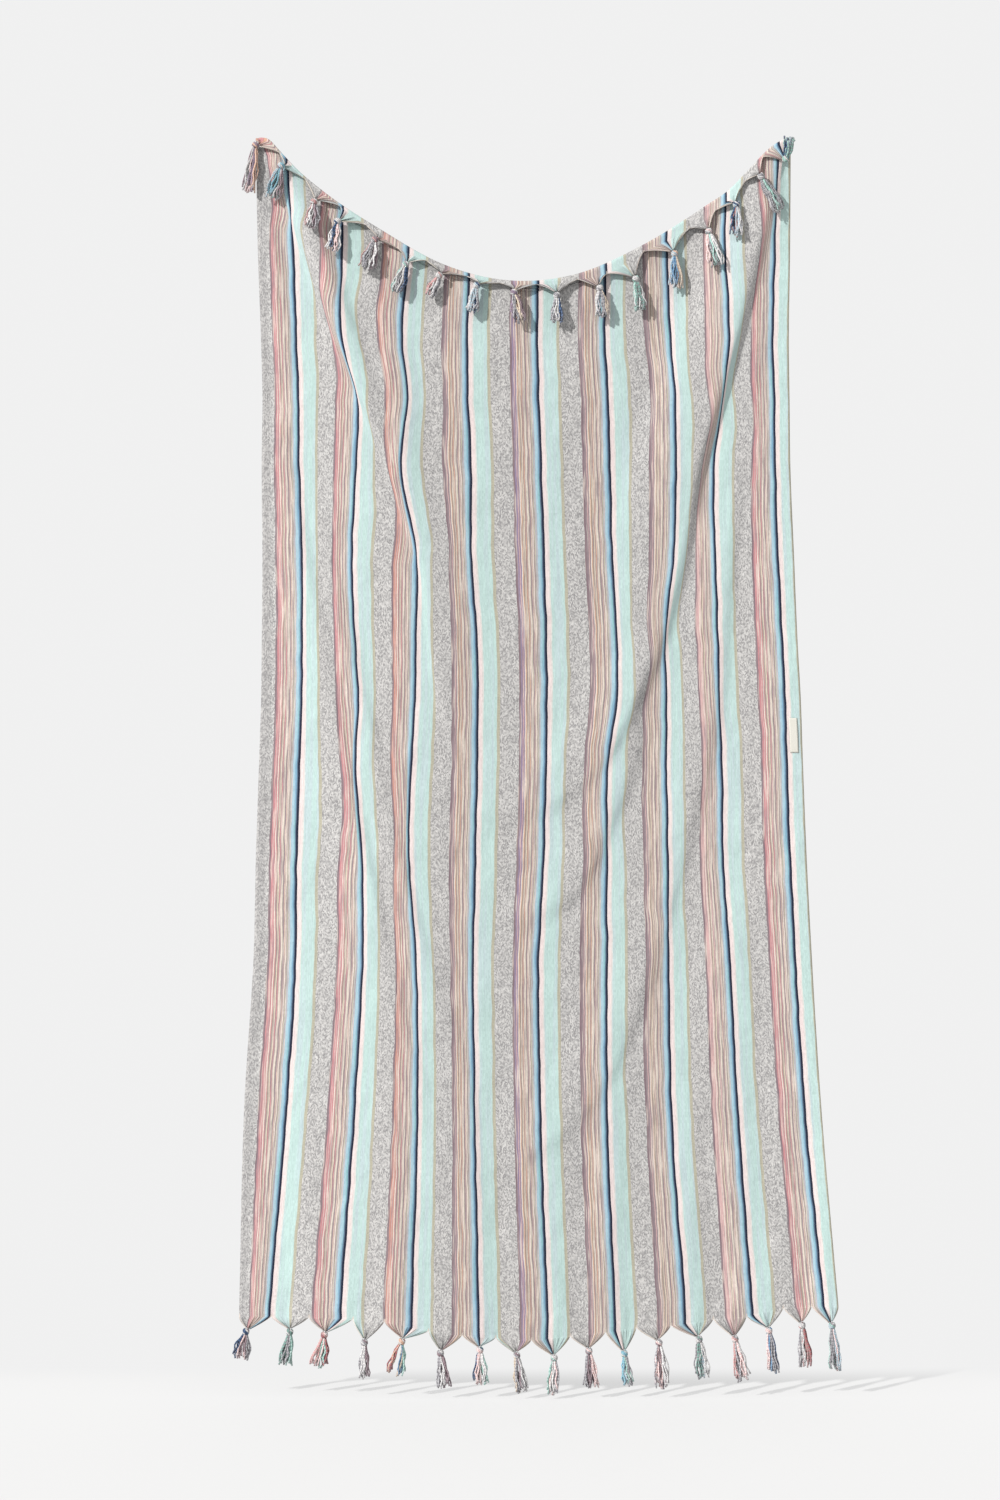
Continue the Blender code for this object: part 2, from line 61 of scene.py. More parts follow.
# Sizes of the cloth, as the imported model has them.
FLAT_WIDTH = 0.950
FIRST_STRIPE = 0.064  # from the left selvage to the first dark stripe
STRIPE_REPEAT = 0.1075  # from one dark stripe to the next
STRIPE_COUNT = 9
TURN_RADIUS_AT_CORNER = 0.0030
TURN_RADIUS_AT_MIDDLE = 0.0050
KNOT_RADIUS = 0.0055
SEAT_GAP = 0.00050
POINT_END_WIDTH = 0.0065
KNOT_PROUD = 0.0045
SKIRT_PROUD = 0.0065
STANDING_PROUD = 0.0120

# Fineness of the cloth's mesh.
STEPS_PER_POINT = 14
BODY_ROWS = 150
TURN_STEPS = 8
TAPER_ROWS = 9
FOLD_PIECES = 30

# Fineness of the table of hanging threads: levels down the cloth, and steps between two guide stripes.
LEVELS = 240
LEVEL_STEPS = 24
BELOW_TABLE = 0.050  # how far the threads run on below the last row of STRIPE_LINES
TOP_EDGE_GUESS = 0.100  # the drop that the search for the top edge starts from
TOP_EDGE_ROUNDS = 14

FLANK_SHARE = 2.4  # how much closer the stripes lie on the flank of a fold

# How soon a point narrows on its way to the knot: below 1 it narrows early, above 1 late.
TOP_POINT_POWER = 0.75
BOTTOM_POINT_POWER = 1.3

# The gathers of a point: how deep they are, how many, and how far up the cloth they begin.
GATHER_DEPTH = 0.0017
GATHERS = 2.5
FINE_GATHERS = 4.5
GATHER_START = 0.045
FIRST_GATHER = 0.4  # the share of their depth that they have at the notches
GATHER_PHASE_STEP = 0.38  # from one top point to the next, in turns
ROLLED_EDGE = 0.0016  # how far the cut edge of a point curls towards the front

# The label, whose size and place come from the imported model.
LABEL_LEAN = 0.045  # how far it leans for each metre down
LABEL_GAP = 0.0004  # between the cloth and the back of the label
LABEL_BULGE = 0.0007  # how much further its middle stands off
LABEL_COLUMNS = 6
LABEL_ROWS = 20

# The tassels. Angles are in radians.
NECK_WIDTH = 0.0024  # half the width of a skirt where it leaves its knot
NECK_DEPTH = NECK_WIDTH * 0.9
WRAP_SLANT = 1.9  # how far a wound strand turns for each radius of the knot that it rises
WRAP_COLOUR_STEP = 2.4  # from the colour of one wound strand to that of the next
GOLDEN_ANGLE = 2.399  # from strand to strand of a skirt, which spreads them evenly
TOP_SKIRT_CLOSING = 0.25  # the share of its width that a skirt loses again at its tips
BOTTOM_SKIRT_CLOSING = 0.0
CHANCE_SEEDS = {"top": 3, "bottom": 6}

# The floor, the lens and the key light.
FLOOR_DROP = 1.8885
FLOOR_SIDE = 4.0
FLOOR_IN_FRONT = 6.0
# On the last stretch of the floor its painted glow takes over from its lit colour, so shadows fade out there.
FLOOR_FADE = 0.16  # the last stretch of the floor, where it fades into the studio's brightness
CAMERA_X = -0.035
CAMERA_DROP = 0.917
LENS_LENGTH = 80.0
SENSOR_WIDTH = 36.0
KEY_COLOUR = (1.0, 0.985, 0.965)

# Where the stripes hang. Columns: drop, x of the left selvage, x of dark stripes 1 to 9, x of the right
# selvage.
STRIPE_LINES = (
    (0.002, -0.401, -0.356, -0.269, -0.172, -0.080, 0.023, 0.124, 0.215, 0.307, 0.382, 0.401),
    (0.167, -0.398, -0.345, -0.271, -0.172, -0.080, 0.023, 0.124, 0.215, 0.302, 0.377, 0.400),
    (0.310, -0.393, -0.340, -0.270, -0.181, -0.084, 0.021, 0.122, 0.221, 0.307, 0.374, 0.398),
    (0.392, -0.391, -0.337, -0.248, -0.173, -0.083, 0.023, 0.127, 0.227, 0.298, 0.376, 0.399),
    (0.482, -0.392, -0.336, -0.250, -0.183, -0.079, 0.026, 0.129, 0.228, 0.286, 0.377, 0.400),
    (0.632, -0.391, -0.331, -0.257, -0.159, -0.078, 0.031, 0.133, 0.224, 0.287, 0.382, 0.406),
    (0.752, -0.392, -0.331, -0.252, -0.161, -0.070, 0.034, 0.140, 0.212, 0.291, 0.388, 0.411),
    (0.842, -0.393, -0.332, -0.247, -0.162, -0.068, 0.035, 0.139, 0.214, 0.293, 0.392, 0.416),
    (0.932, -0.396, -0.335, -0.251, -0.167, -0.069, 0.034, 0.127, 0.214, 0.297, 0.395, 0.419),
    (1.082, -0.401, -0.340, -0.241, -0.171, -0.072, 0.030, 0.125, 0.216, 0.299, 0.400, 0.425),
    (1.217, -0.404, -0.341, -0.240, -0.161, -0.075, 0.023, 0.125, 0.217, 0.308, 0.407, 0.432),
    (1.442, -0.418, -0.354, -0.252, -0.158, -0.073, 0.025, 0.125, 0.221, 0.320, 0.421, 0.446),
    (1.757, -0.426, -0.381, -0.274, -0.167, -0.067, 0.036, 0.137, 0.242, 0.343, 0.451, 0.473),
)

# The sagging top edge. Columns: x, drop.
TOP_EDGE = (
    (-0.404, 0.000),
    (-0.380, 0.004),
    (-0.368, 0.017),
    (-0.340, 0.047),
    (-0.302, 0.079),
    (-0.215, 0.137),
    (-0.118, 0.191),
    (-0.016, 0.215),
    (0.079, 0.205),
    (0.179, 0.161),
    (0.275, 0.101),
    (0.310, 0.077),
    (0.340, 0.046),
    (0.368, 0.017),
    (0.388, 0.004),
    (0.404, 0.000),
)

# The top points, left to right. Columns: where the point ends across the flat cloth, how far the notch
# after it lies below the top edge, knot x, knot drop, tip x, tip drop, yarn slot.
TOP_POINTS = (
    (0.051, 0.004, -0.401, 0.012, -0.413, 0.086, "rose"),
    (0.097, 0.004, -0.362, 0.044, -0.377, 0.094, "blue"),
    (0.166, 0.004, -0.313, 0.098, -0.317, 0.140, "coral"),
    (0.209, 0.007, -0.278, 0.127, -0.286, 0.173, "blue"),
    (0.262, 0.013, -0.222, 0.154, -0.236, 0.200, "coral"),
    (0.309, 0.007, -0.176, 0.191, -0.191, 0.235, "blue"),
    (0.379, 0.006, -0.126, 0.208, -0.143, 0.241, "coral"),
    (0.433, 0.006, -0.070, 0.223, -0.080, 0.265, "grey"),
    (0.490, 0.006, -0.014, 0.233, -0.004, 0.281, "rose"),
    (0.556, 0.009, 0.050, 0.238, 0.049, 0.281, "grey"),
    (0.603, 0.017, 0.114, 0.227, 0.118, 0.272, "grey"),
    (0.668, 0.011, 0.168, 0.213, 0.175, 0.262, "mint"),
    (0.749, 0.018, 0.226, 0.175, 0.229, 0.229, "blue"),
    (0.795, 0.017, 0.277, 0.142, 0.289, 0.197, "rose"),
    (0.855, 0.012, 0.318, 0.102, 0.318, 0.152, "blue"),
    (0.892, 0.004, 0.355, 0.060, 0.384, 0.113, "grey"),
    (0.950, 0.004, 0.392, 0.034, 0.398, 0.001, "blue"),
)

# The bottom points, left to right. Columns: where the point ends across the flat cloth, drop of the notch
# after it, knot x, knot drop, tip x, tip drop, yarn slot.
BOTTOM_CORNER_DROP = 1.766
BOTTOM_POINTS = (
    (0.067, 1.766, -0.416, 1.789, -0.425, 1.831, "blue"),
    (0.125, 1.766, -0.350, 1.789, -0.358, 1.840, "mint"),
    (0.190, 1.769, -0.298, 1.793, -0.308, 1.843, "coral"),
    (0.238, 1.772, -0.238, 1.804, -0.239, 1.859, "grey"),
    (0.306, 1.786, -0.182, 1.802, -0.194, 1.853, "coral"),
    (0.360, 1.792, -0.124, 1.819, -0.119, 1.873, "grey"),
    (0.413, 1.796, -0.065, 1.814, -0.064, 1.868, "mint"),
    (0.469, 1.799, -0.010, 1.822, -0.002, 1.880, "grey"),
    (0.530, 1.793, 0.046, 1.826, 0.043, 1.882, "rose"),
    (0.586, 1.787, 0.098, 1.816, 0.103, 1.874, "grey"),
    (0.635, 1.781, 0.151, 1.820, 0.157, 1.870, "blue"),
    (0.687, 1.778, 0.203, 1.804, 0.208, 1.873, "rose"),
    (0.755, 1.769, 0.263, 1.799, 0.268, 1.859, "mint"),
    (0.807, 1.765, 0.317, 1.799, 0.329, 1.864, "coral"),
    (0.863, 1.753, 0.368, 1.787, 0.376, 1.853, "blue"),
    (0.906, 1.751, 0.418, 1.780, 0.424, 1.844, "coral"),
    (0.950, 1.751, 0.463, 1.780, 0.469, 1.850, "mint"),
)

# The folds. Columns: name, side of the path that is steep (1 is the viewer's right going down it), run of
# the steep flank, run of the gentle flank, path. A path's columns: x, drop, height of the fold there.
FOLDS = (
    ("main_right", 1, 0.022, 0.110, (
        (0.394, 0.020, 0.004), (0.343, 0.227, 0.013), (0.307, 0.362, 0.015), (0.271, 0.481, 0.015),
        (0.235, 0.671, 0.010), (0.175, 0.842, 0.008), (0.107, 0.955, 0.006), (0.032, 1.010, 0.004),
        (-0.050, 1.022, 0.002), (-0.125, 1.025, 0.000))),
    ("main_left", -1, 0.011, 0.100, (
        (-0.389, 0.020, 0.004), (-0.336, 0.152, 0.008), (-0.287, 0.287, 0.011), (-0.249, 0.380, 0.010),
        (-0.200, 0.509, 0.006), (-0.160, 0.622, 0.005), (-0.131, 0.827, 0.004), (-0.105, 0.925, 0.003),
        (-0.073, 0.992, 0.000))),
    ("branch", 1, 0.024, 0.070, (
        (0.197, 0.752, 0.000), (0.175, 0.844, 0.005), (0.170, 0.934, 0.005), (0.134, 1.025, 0.006),
        (0.080, 1.133, 0.005), (0.035, 1.165, 0.004), (-0.050, 1.187, 0.000))),
    ("outer_right", 1, 0.026, 0.090, (
        (0.332, 0.422, 0.000), (0.316, 0.607, 0.005), (0.293, 0.862, 0.005), (0.253, 1.043, 0.005),
        (0.212, 1.189, 0.005), (0.170, 1.324, 0.005), (0.115, 1.435, 0.005), (0.035, 1.514, 0.004),
        (-0.035, 1.550, 0.002), (-0.110, 1.562, 0.000))),
    ("edge_right", 1, 0.040, 0.080, (
        (0.385, 0.062, 0.003), (0.367, 0.242, 0.004), (0.358, 0.422, 0.003), (0.355, 0.632, 0.000))),
    ("outer_left", 1, 0.022, 0.070, (
        (-0.368, 0.362, 0.000), (-0.328, 0.589, 0.004), (-0.292, 0.770, 0.005), (-0.260, 0.952, 0.005),
        (-0.229, 1.079, 0.005), (-0.193, 1.243, 0.004), (-0.163, 1.367, 0.003), (-0.074, 1.561, 0.000))),
    ("inner_left", 1, 0.022, 0.060, (
        (-0.298, 0.542, 0.000), (-0.269, 0.698, 0.003), (-0.224, 0.880, 0.004), (-0.175, 1.106, 0.004),
        (-0.128, 1.261, 0.004), (-0.074, 1.424, 0.003), (-0.067, 1.532, 0.002), (-0.065, 1.652, 0.000))),
    ("neck_left_one", 1, 0.020, 0.036, (
        (-0.358, 0.040, 0.002), (-0.308, 0.137, 0.004), (-0.268, 0.242, 0.005), (-0.227, 0.362, 0.003),
        (-0.197, 0.467, 0.000))),
    ("neck_left_two", -1, 0.022, 0.040, (
        (-0.373, 0.040, 0.002), (-0.335, 0.130, 0.004), (-0.311, 0.227, 0.004), (-0.283, 0.347, 0.002),
        (-0.260, 0.437, 0.000))),
    ("neck_left_three", 1, 0.020, 0.032, (
        (-0.383, 0.047, 0.002), (-0.368, 0.152, 0.004), (-0.350, 0.287, 0.003), (-0.335, 0.422, 0.000))),
    ("pleat_left", -1, 0.022, 0.040, (
        (-0.302, 0.092, 0.001), (-0.227, 0.242, 0.003), (-0.197, 0.407, 0.004), (-0.182, 0.542, 0.002),
        (-0.173, 0.632, 0.000))),
    ("low_right", 1, 0.060, 0.090, (
        (0.343, 1.082, 0.000), (0.340, 1.232, 0.003), (0.328, 1.382, 0.004), (0.332, 1.532, 0.003),
        (0.355, 1.682, 0.000))),
    ("inside_right", -1, 0.040, 0.080, (
        (0.295, 0.115, 0.002), (0.250, 0.242, 0.003), (0.197, 0.392, 0.005), (0.152, 0.542, 0.004),
        (0.115, 0.677, 0.000))),
)

# Where a fold tucks cloth away beside a dark stripe. Columns: number of the dark stripe, share of the way to
# it from the stripe before, drop where the tuck is deepest, how far it runs up and down, width tucked away.
TUCKS = (
    (2, 0.95, 0.980, 0.150, 0.022),
    (3, 0.95, 0.530, 0.120, 0.014),
    (3, 0.95, 1.030, 0.150, 0.010),
)

# The belly of the whole cloth between its held corners.
BELLY_HEIGHT = 0.016
BELLY_HALF_WIDTH = 0.450
BELLY_FULL_DROP = 0.500

# Shallow flutes near the bottom. Columns: height, wave length, phase in turns.
FLUTES = ((0.0012, 0.110, 0.10), (0.0008, 0.065, 0.33))
FLUTES_START = 1.200
FLUTES_FULL = 1.700

# Colours as the eight-bit numbers of a lit surface.
DYES = {
    "navy": (26, 36, 60),
    "pale_pink": (249, 233, 231),
    "shell": (236, 233, 228),
    "slate": (100, 124, 148),
    "mint": (203, 230, 225),
    "lilac": (208, 218, 230),
    "khaki": (200, 196, 176),
    "olive": (160, 152, 134),
    "yellow": (241, 224, 198),
    "light_grey": (239, 237, 234),
    "dark_grey": (124, 122, 125),
    "plum": (142, 120, 128),
    "coral": (214, 150, 154),
    "orange_red": (218, 160, 146),
    "pink": (230, 190, 188),
    "mauve": (160, 142, 148),
    "purple": (160, 142, 170),
    "orange": (224, 178, 152),
    "peach": (234, 204, 188),
    "tan": (192, 176, 169),
    "cream": (245, 231, 219),
    "light_blue": (182, 214, 228),
    "deep_blue": (134, 178, 206),
    "teal": (150, 200, 206),
    "blue": (92, 120, 160),
    "mid_grey": (132, 130, 136),
    "pale_grey": (196, 194, 198),
    "sage": (130, 180, 166),
    "red": (186, 92, 88),
    "label_cream": (250, 248, 238),
    "stitch": (230, 226, 212),
}
LIGHT_GIVEN_BACK = 0.525  # a dye's share of the light that its lit look holds

# The bands of one repeat, from the middle of one dark stripe to the middle of the next, in millimetres.
BANDS = (
    ("navy", 1.4),
    ("pale_pink", 5.6),
    ("shell", 2.0),
    ("mint", 21.2),
    ("khaki", 4.3),
    ("light_grey", 29.8),
    ("tan", 33.4),
    ("light_blue", 6.4),
    ("slate", 1.6),
    ("navy", 1.8),
)

# The fine lines in the tan band, left to right, in millimetres. "first" and "second" change with the repeat.
FINE_LINES = (
    ("plum", 3.2),
    ("first", 3.0),
    ("pink", 1.0),
    ("first", 1.8),
    ("cream", 1.6),
    ("second", 1.2),
    ("olive", 1.0),
    ("tan", 1.5),
    ("yellow", 1.2),
    ("mauve", 1.0),
    ("second", 1.3),
    ("tan", 1.4),
    ("cream", 1.8),
    ("khaki", 1.0),
    ("mauve", 2.0),
    ("peach", 1.0),
    ("tan", 1.0),
    ("cream", 1.4),
    ("mauve", 1.0),
    ("khaki", 1.6),
    ("pale_grey", 2.4),
)

# The two changing lines of each repeat, left to right across the cloth. The last repeat ends before them.
CHANGING_LINES = (
    ("coral", "coral"),
    ("coral", "coral"),
    ("orange_red", "coral"),
    ("mauve", "orange"),
    ("purple", "orange"),
    ("mauve", "orange"),
    ("mauve", "peach"),
    ("pink", "pink"),
    ("coral", "coral"),
    ("coral", "coral"),
)

# The colours that the settings hold.
OWN_COLOURS = ("mint", "pale_pink", "navy", "light_blue", "tan")

# Details of the weave.
STRIPE_WANDER = 0.0032  # how far the stripes stray from their straight lines
HERRINGBONE_SHIFT = 0.0018
HERRINGBONE_RUN = 0.0098  # from one turn of the zigzag to the next
HERRINGBONE_SLOPE = 0.75
ROLLED_POINT = 0.030  # how much of the first top point is rolled over
LEFT_SELVAGE = 0.019
RIGHT_SELVAGE = 0.0035
RIB_HEIGHT = 0.0002
CRUMPLE_HEIGHT = 0.0045
ROPE_HEIGHT = 0.0020

# The two plies of each yarn in the tassels.
YARNS = {
    "grey": ("mid_grey", "pale_grey"),
    "pale": ("pale_grey", "light_grey"),
    "navy": ("navy", "blue"),
    "blue": ("blue", "deep_blue"),
    "sky": ("light_blue", "pale_grey"),
    "teal": ("teal", "deep_blue"),
    "mint": ("mint", "sage"),
    "sage": ("sage", "mid_grey"),
    "red": ("red", "plum"),
    "coral": ("coral", "tan"),
    "pink": ("pink", "pale_pink"),
    "mauve": ("mauve", "plum"),
    "purple": ("purple", "mauve"),
    "orange": ("orange", "peach"),
    "tan": ("tan", "yellow"),
}

# The skirts of the tassels, left to right. Columns: yarns, half width, how far apart the two halves stand.
TOP_SKIRTS = (
    ("mauve pale pink purple orange", 0.0112, 0.00),
    ("sky teal sage pale mauve", 0.0125, 0.05),
    ("coral pale mauve grey", 0.0112, 0.00),
    ("pale navy pink pale", 0.0100, 0.10),
    ("coral grey pale mauve", 0.0128, 0.00),
    ("mint pale grey navy", 0.0112, 0.05),
    ("coral pale grey", 0.0090, 0.00),
    ("pale sky navy grey", 0.0092, 0.05),
    ("purple grey tan mauve", 0.0105, 0.10),
    ("grey pale navy", 0.0088, 0.15),
    ("pale sky grey tan", 0.0105, 0.20),
    ("mint pale sage pale", 0.0100, 0.00),
    ("sky blue orange tan", 0.0108, 0.05),
    ("pink grey mint pale", 0.0115, 0.00),
    ("navy coral sky pale", 0.0100, 0.05),
    ("grey pale mint grey", 0.0112, 0.00),
    ("navy mint sky sage", 0.0085, 0.00),
)
BOTTOM_SKIRTS = (
    ("navy mauve pink grey", 0.0125, 0.10),
    ("sage grey mint", 0.0100, 0.00),
    ("coral pink mint red", 0.0120, 0.05),
    ("grey pale mauve", 0.0080, 0.00),
    ("orange red tan blue mint", 0.0115, 0.40),
    ("grey pale mauve", 0.0100, 0.00),
    ("navy pink pale mint", 0.0110, 0.00),
    ("tan grey mauve pale", 0.0095, 0.20),
    ("mint pale pink grey", 0.0085, 0.00),
    ("grey mauve pink", 0.0105, 0.10),
    ("teal sky mint grey", 0.0075, 0.00),
    ("grey pink mauve pale", 0.0110, 0.00),
    ("grey sage sky pale", 0.0115, 0.05),
    ("coral grey pink pale", 0.0095, 0.10),
    ("pink blue grey navy", 0.0080, 0.10),
    ("grey pale coral red", 0.0095, 0.10),
    ("mint grey pink sky", 0.0085, 0.05),
)


def ease(share):
    share = np.clip(share, 0.0, 1.0)
    return share * share * (3.0 - 2.0 * share)


def spline(at, stations, values):
    """A smooth curve through values at stations, read at each number of at."""
    at, stations, values = (np.asarray(given, float) for given in (at, stations, values))
    slopes = np.gradient(values, stations, axis=0)
    i = np.clip(np.searchsorted(stations, at) - 1, 0, len(stations) - 2)
    step = stations[i + 1] - stations[i]
    t = np.clip((at - stations[i]) / step, 0.0, 1.0)
    if values.ndim > 1:
        step, t = step[..., None], t[..., None]
    rise = ease(t)
    start_slope = t * (1.0 - t) ** 2 * step * slopes[i]
    end_slope = t * t * (t - 1.0) * step * slopes[i + 1]
    return values[i] * (1.0 - rise) + values[i + 1] * rise + start_slope + end_slope


def fold_height(x, drop, side, steep, gentle, path):
    """How far one fold lifts the cloth: full height along its crest, down to nothing on both flanks."""
    path = np.array(path)
    steps = np.hypot(np.diff(path[:, 0]), np.diff(path[:, 1]))
    run = np.concatenate([[0.0], np.cumsum(steps)])
    points = spline(np.linspace(0.0, run[-1], FOLD_PIECES + 1), run, path)
    nearest = np.full(x.shape, np.inf)
    offset = np.zeros(x.shape)
    height = np.zeros(x.shape)
    for start, end in zip(points[:-1], points[1:]):
        along = end[:2] - start[:2]
        length = np.hypot(*along)
        share = ((x - start[0]) * along[0] + (drop - start[1]) * along[1]) / length**2
        share = np.clip(share, 0.0, 1.0)
        from_x = x - start[0] - share * along[0]
        from_drop = drop - start[1] - share * along[1]
        distance = np.hypot(from_x, from_drop)
        to_right = from_x * along[1] - from_drop * along[0] > 0.0
        closer = distance < nearest
        offset = np.where(closer, np.where(to_right, distance, -distance), offset)
        height = np.where(closer, start[2] + share * (end[2] - start[2]), height)
        nearest = np.minimum(nearest, distance)
    offset = offset * side
    on_steep = 0.5 - 0.5 * np.sin(np.pi * np.clip(offset / steep, -0.5, 0.5))
    on_gentle = 0.5 + 0.5 * np.cos(np.pi * np.clip((-offset - steep / 2) / gentle, 0.0, 1.0))
    return np.maximum(height, 0.0) * np.minimum(on_steep, on_gentle)


def front_of(x, drop):
    """How far the cloth hangs in front of the line between its held corners."""
    x, drop = np.broadcast_arrays(np.asarray(x, float), np.asarray(drop, float))
    front = np.zeros(x.shape)
    for _, side, steep, gentle, path in FOLDS:
        front = front + fold_height(x, drop, side, steep, gentle, path)
    belly = np.cos(np.clip(x / BELLY_HALF_WIDTH, -1.0, 1.0) * np.pi / 2)
    front = front + BELLY_HEIGHT * belly * ease(drop / BELLY_FULL_DROP)
    low = ease((drop - FLUTES_START) / (FLUTES_FULL - FLUTES_START))
    for height, wave, phase in FLUTES:
        front = front + low * height * np.sin(2 * np.pi * (x / wave + phase))
    return front


class HangingThreads:
    """Where the lengthwise threads hang. Between two guide stripes they lie closer on the flank of a fold,
    and closest in a tuck."""

    def __init__(self):
        table = np.array(STRIPE_LINES)
        dark_stripes = [FIRST_STRIPE + STRIPE_REPEAT * number for number in range(STRIPE_COUNT)]
        self.flats = np.array([0.0, *dark_stripes, FLAT_WIDTH])
        self.drops = np.linspace(0.0, table[-1, 0] + BELOW_TABLE, LEVELS)
        guides = spline(self.drops, table[:, 0], table[:, 1:])
        even = np.linspace(0.0, 1.0, LEVEL_STEPS + 1)
        left = guides[:, :-1, None]
        x = left + (guides[:, 1:, None] - left) * even
        front = front_of(x, self.drops[:, None, None])
        steps = np.hypot(np.diff(x, axis=2), FLANK_SHARE * np.diff(front, axis=2))
        for stripe, share, drop, reach, width in TUCKS:
            tucked = width * ease(1.0 - np.abs(self.drops - drop) / reach)
            steps[:, stripe - 1, int(share * LEVEL_STEPS)] += tucked
        run = np.concatenate([np.zeros(x.shape[:2] + (1,)), np.cumsum(steps, axis=2)], axis=2)
        run /= run[:, :, -1:]
        self.threads = np.empty_like(x)
        for level in range(x.shape[0]):
            for gap in range(x.shape[1]):
                self.threads[level, gap] = np.interp(even, run[level, gap], x[level, gap])

    def x_of(self, flat, drop):
        flat, drop = np.broadcast_arrays(np.asarray(flat, float), np.asarray(drop, float))
        gap = np.clip(np.searchsorted(self.flats, flat, side="right") - 1, 0, len(self.flats) - 2)
        share = (flat - self.flats[gap]) / (self.flats[gap + 1] - self.flats[gap])
        place = np.clip(share, 0.0, 1.0) * LEVEL_STEPS
        step = np.clip(place.astype(int), 0, LEVEL_STEPS - 1)
        place = place - step
        # Kept just short of the last level, so that there is always one below.
        level = np.clip(drop / (self.drops[1] - self.drops[0]), 0.0, LEVELS - 1.001)
        above = level.astype(int)
        level = level - above

        def on_level(number):
            left, right = self.threads[number, gap, step], self.threads[number, gap, step + 1]
            return left * (1 - place) + right * place

        return on_level(above) * (1 - level) + on_level(above + 1) * level


def top_drop_of(threads, flat):
    """The drop of the top edge at a lengthwise thread, found by stepping between the two tables."""
    table = np.array(TOP_EDGE)
    drop = np.full(np.shape(flat), TOP_EDGE_GUESS)
    for _ in range(TOP_EDGE_ROUNDS):
        drop = spline(threads.x_of(flat, drop), table[:, 0], table[:, 1])
    return drop


def turn_radius_of(flat):
    middle = np.sin(np.pi * np.asarray(flat) / FLAT_WIDTH)
    return TURN_RADIUS_AT_CORNER + (TURN_RADIUS_AT_MIDDLE - TURN_RADIUS_AT_CORNER) * middle


def point_columns(points):
    """The flat positions of the mesh's columns: each point of the cloth is cut into the same few steps."""
    marks = [0.0, *(point[0] for point in points)]
    steps = np.arange(len(points) * STEPS_PER_POINT + 1) / STEPS_PER_POINT
    return np.interp(steps, np.arange(len(marks)), marks)


def notches_at(flat, points, at_left_selvage):
    """The notches' column of a table of points, read at flat positions."""
    marks = [0.0, *(point[0] for point in points)]
    return np.interp(flat, marks, [at_left_selvage, *(point[1] for point in points)])


def placed(x, front, drop):
    return np.stack(np.broadcast_arrays(x, -np.asarray(front), -np.asarray(drop)), axis=-1)


def top_knot(point):
    """(knot, tip, stands) of a top point: its tassel either hangs or stands up."""
    end, _, knot_x, knot_drop, tip_x, tip_drop, _ = point
    turn = 2.0 * turn_radius_of(end)
    stands = tip_drop < knot_drop
    knot_front = front_of(knot_x, knot_drop) + turn + (STANDING_PROUD if stands else KNOT_PROUD)
    tip_front = front_of(tip_x, tip_drop) + turn + (STANDING_PROUD if stands else 0.0) + SKIRT_PROUD
    return placed(knot_x, knot_front, knot_drop), placed(tip_x, tip_front, tip_drop), stands


def bottom_knot(point):
    _, _, knot_x, knot_drop, tip_x, tip_drop, _ = point
    front = front_of(knot_x, knot_drop)
    return placed(knot_x, front, knot_drop), placed(tip_x, front, tip_drop), False


def seat_of(row, knot, stands, thickness):
    """Where the gathered cloth ends: short of its knot, or behind a knot whose tassel stands up."""
    if stands:
        return knot + np.array((0.0, KNOT_RADIUS + thickness / 2, 0.0))
    towards = knot - np.array(row).mean(axis=0)
    towards /= np.linalg.norm(towards)
    return knot - towards * (KNOT_RADIUS + SEAT_GAP)


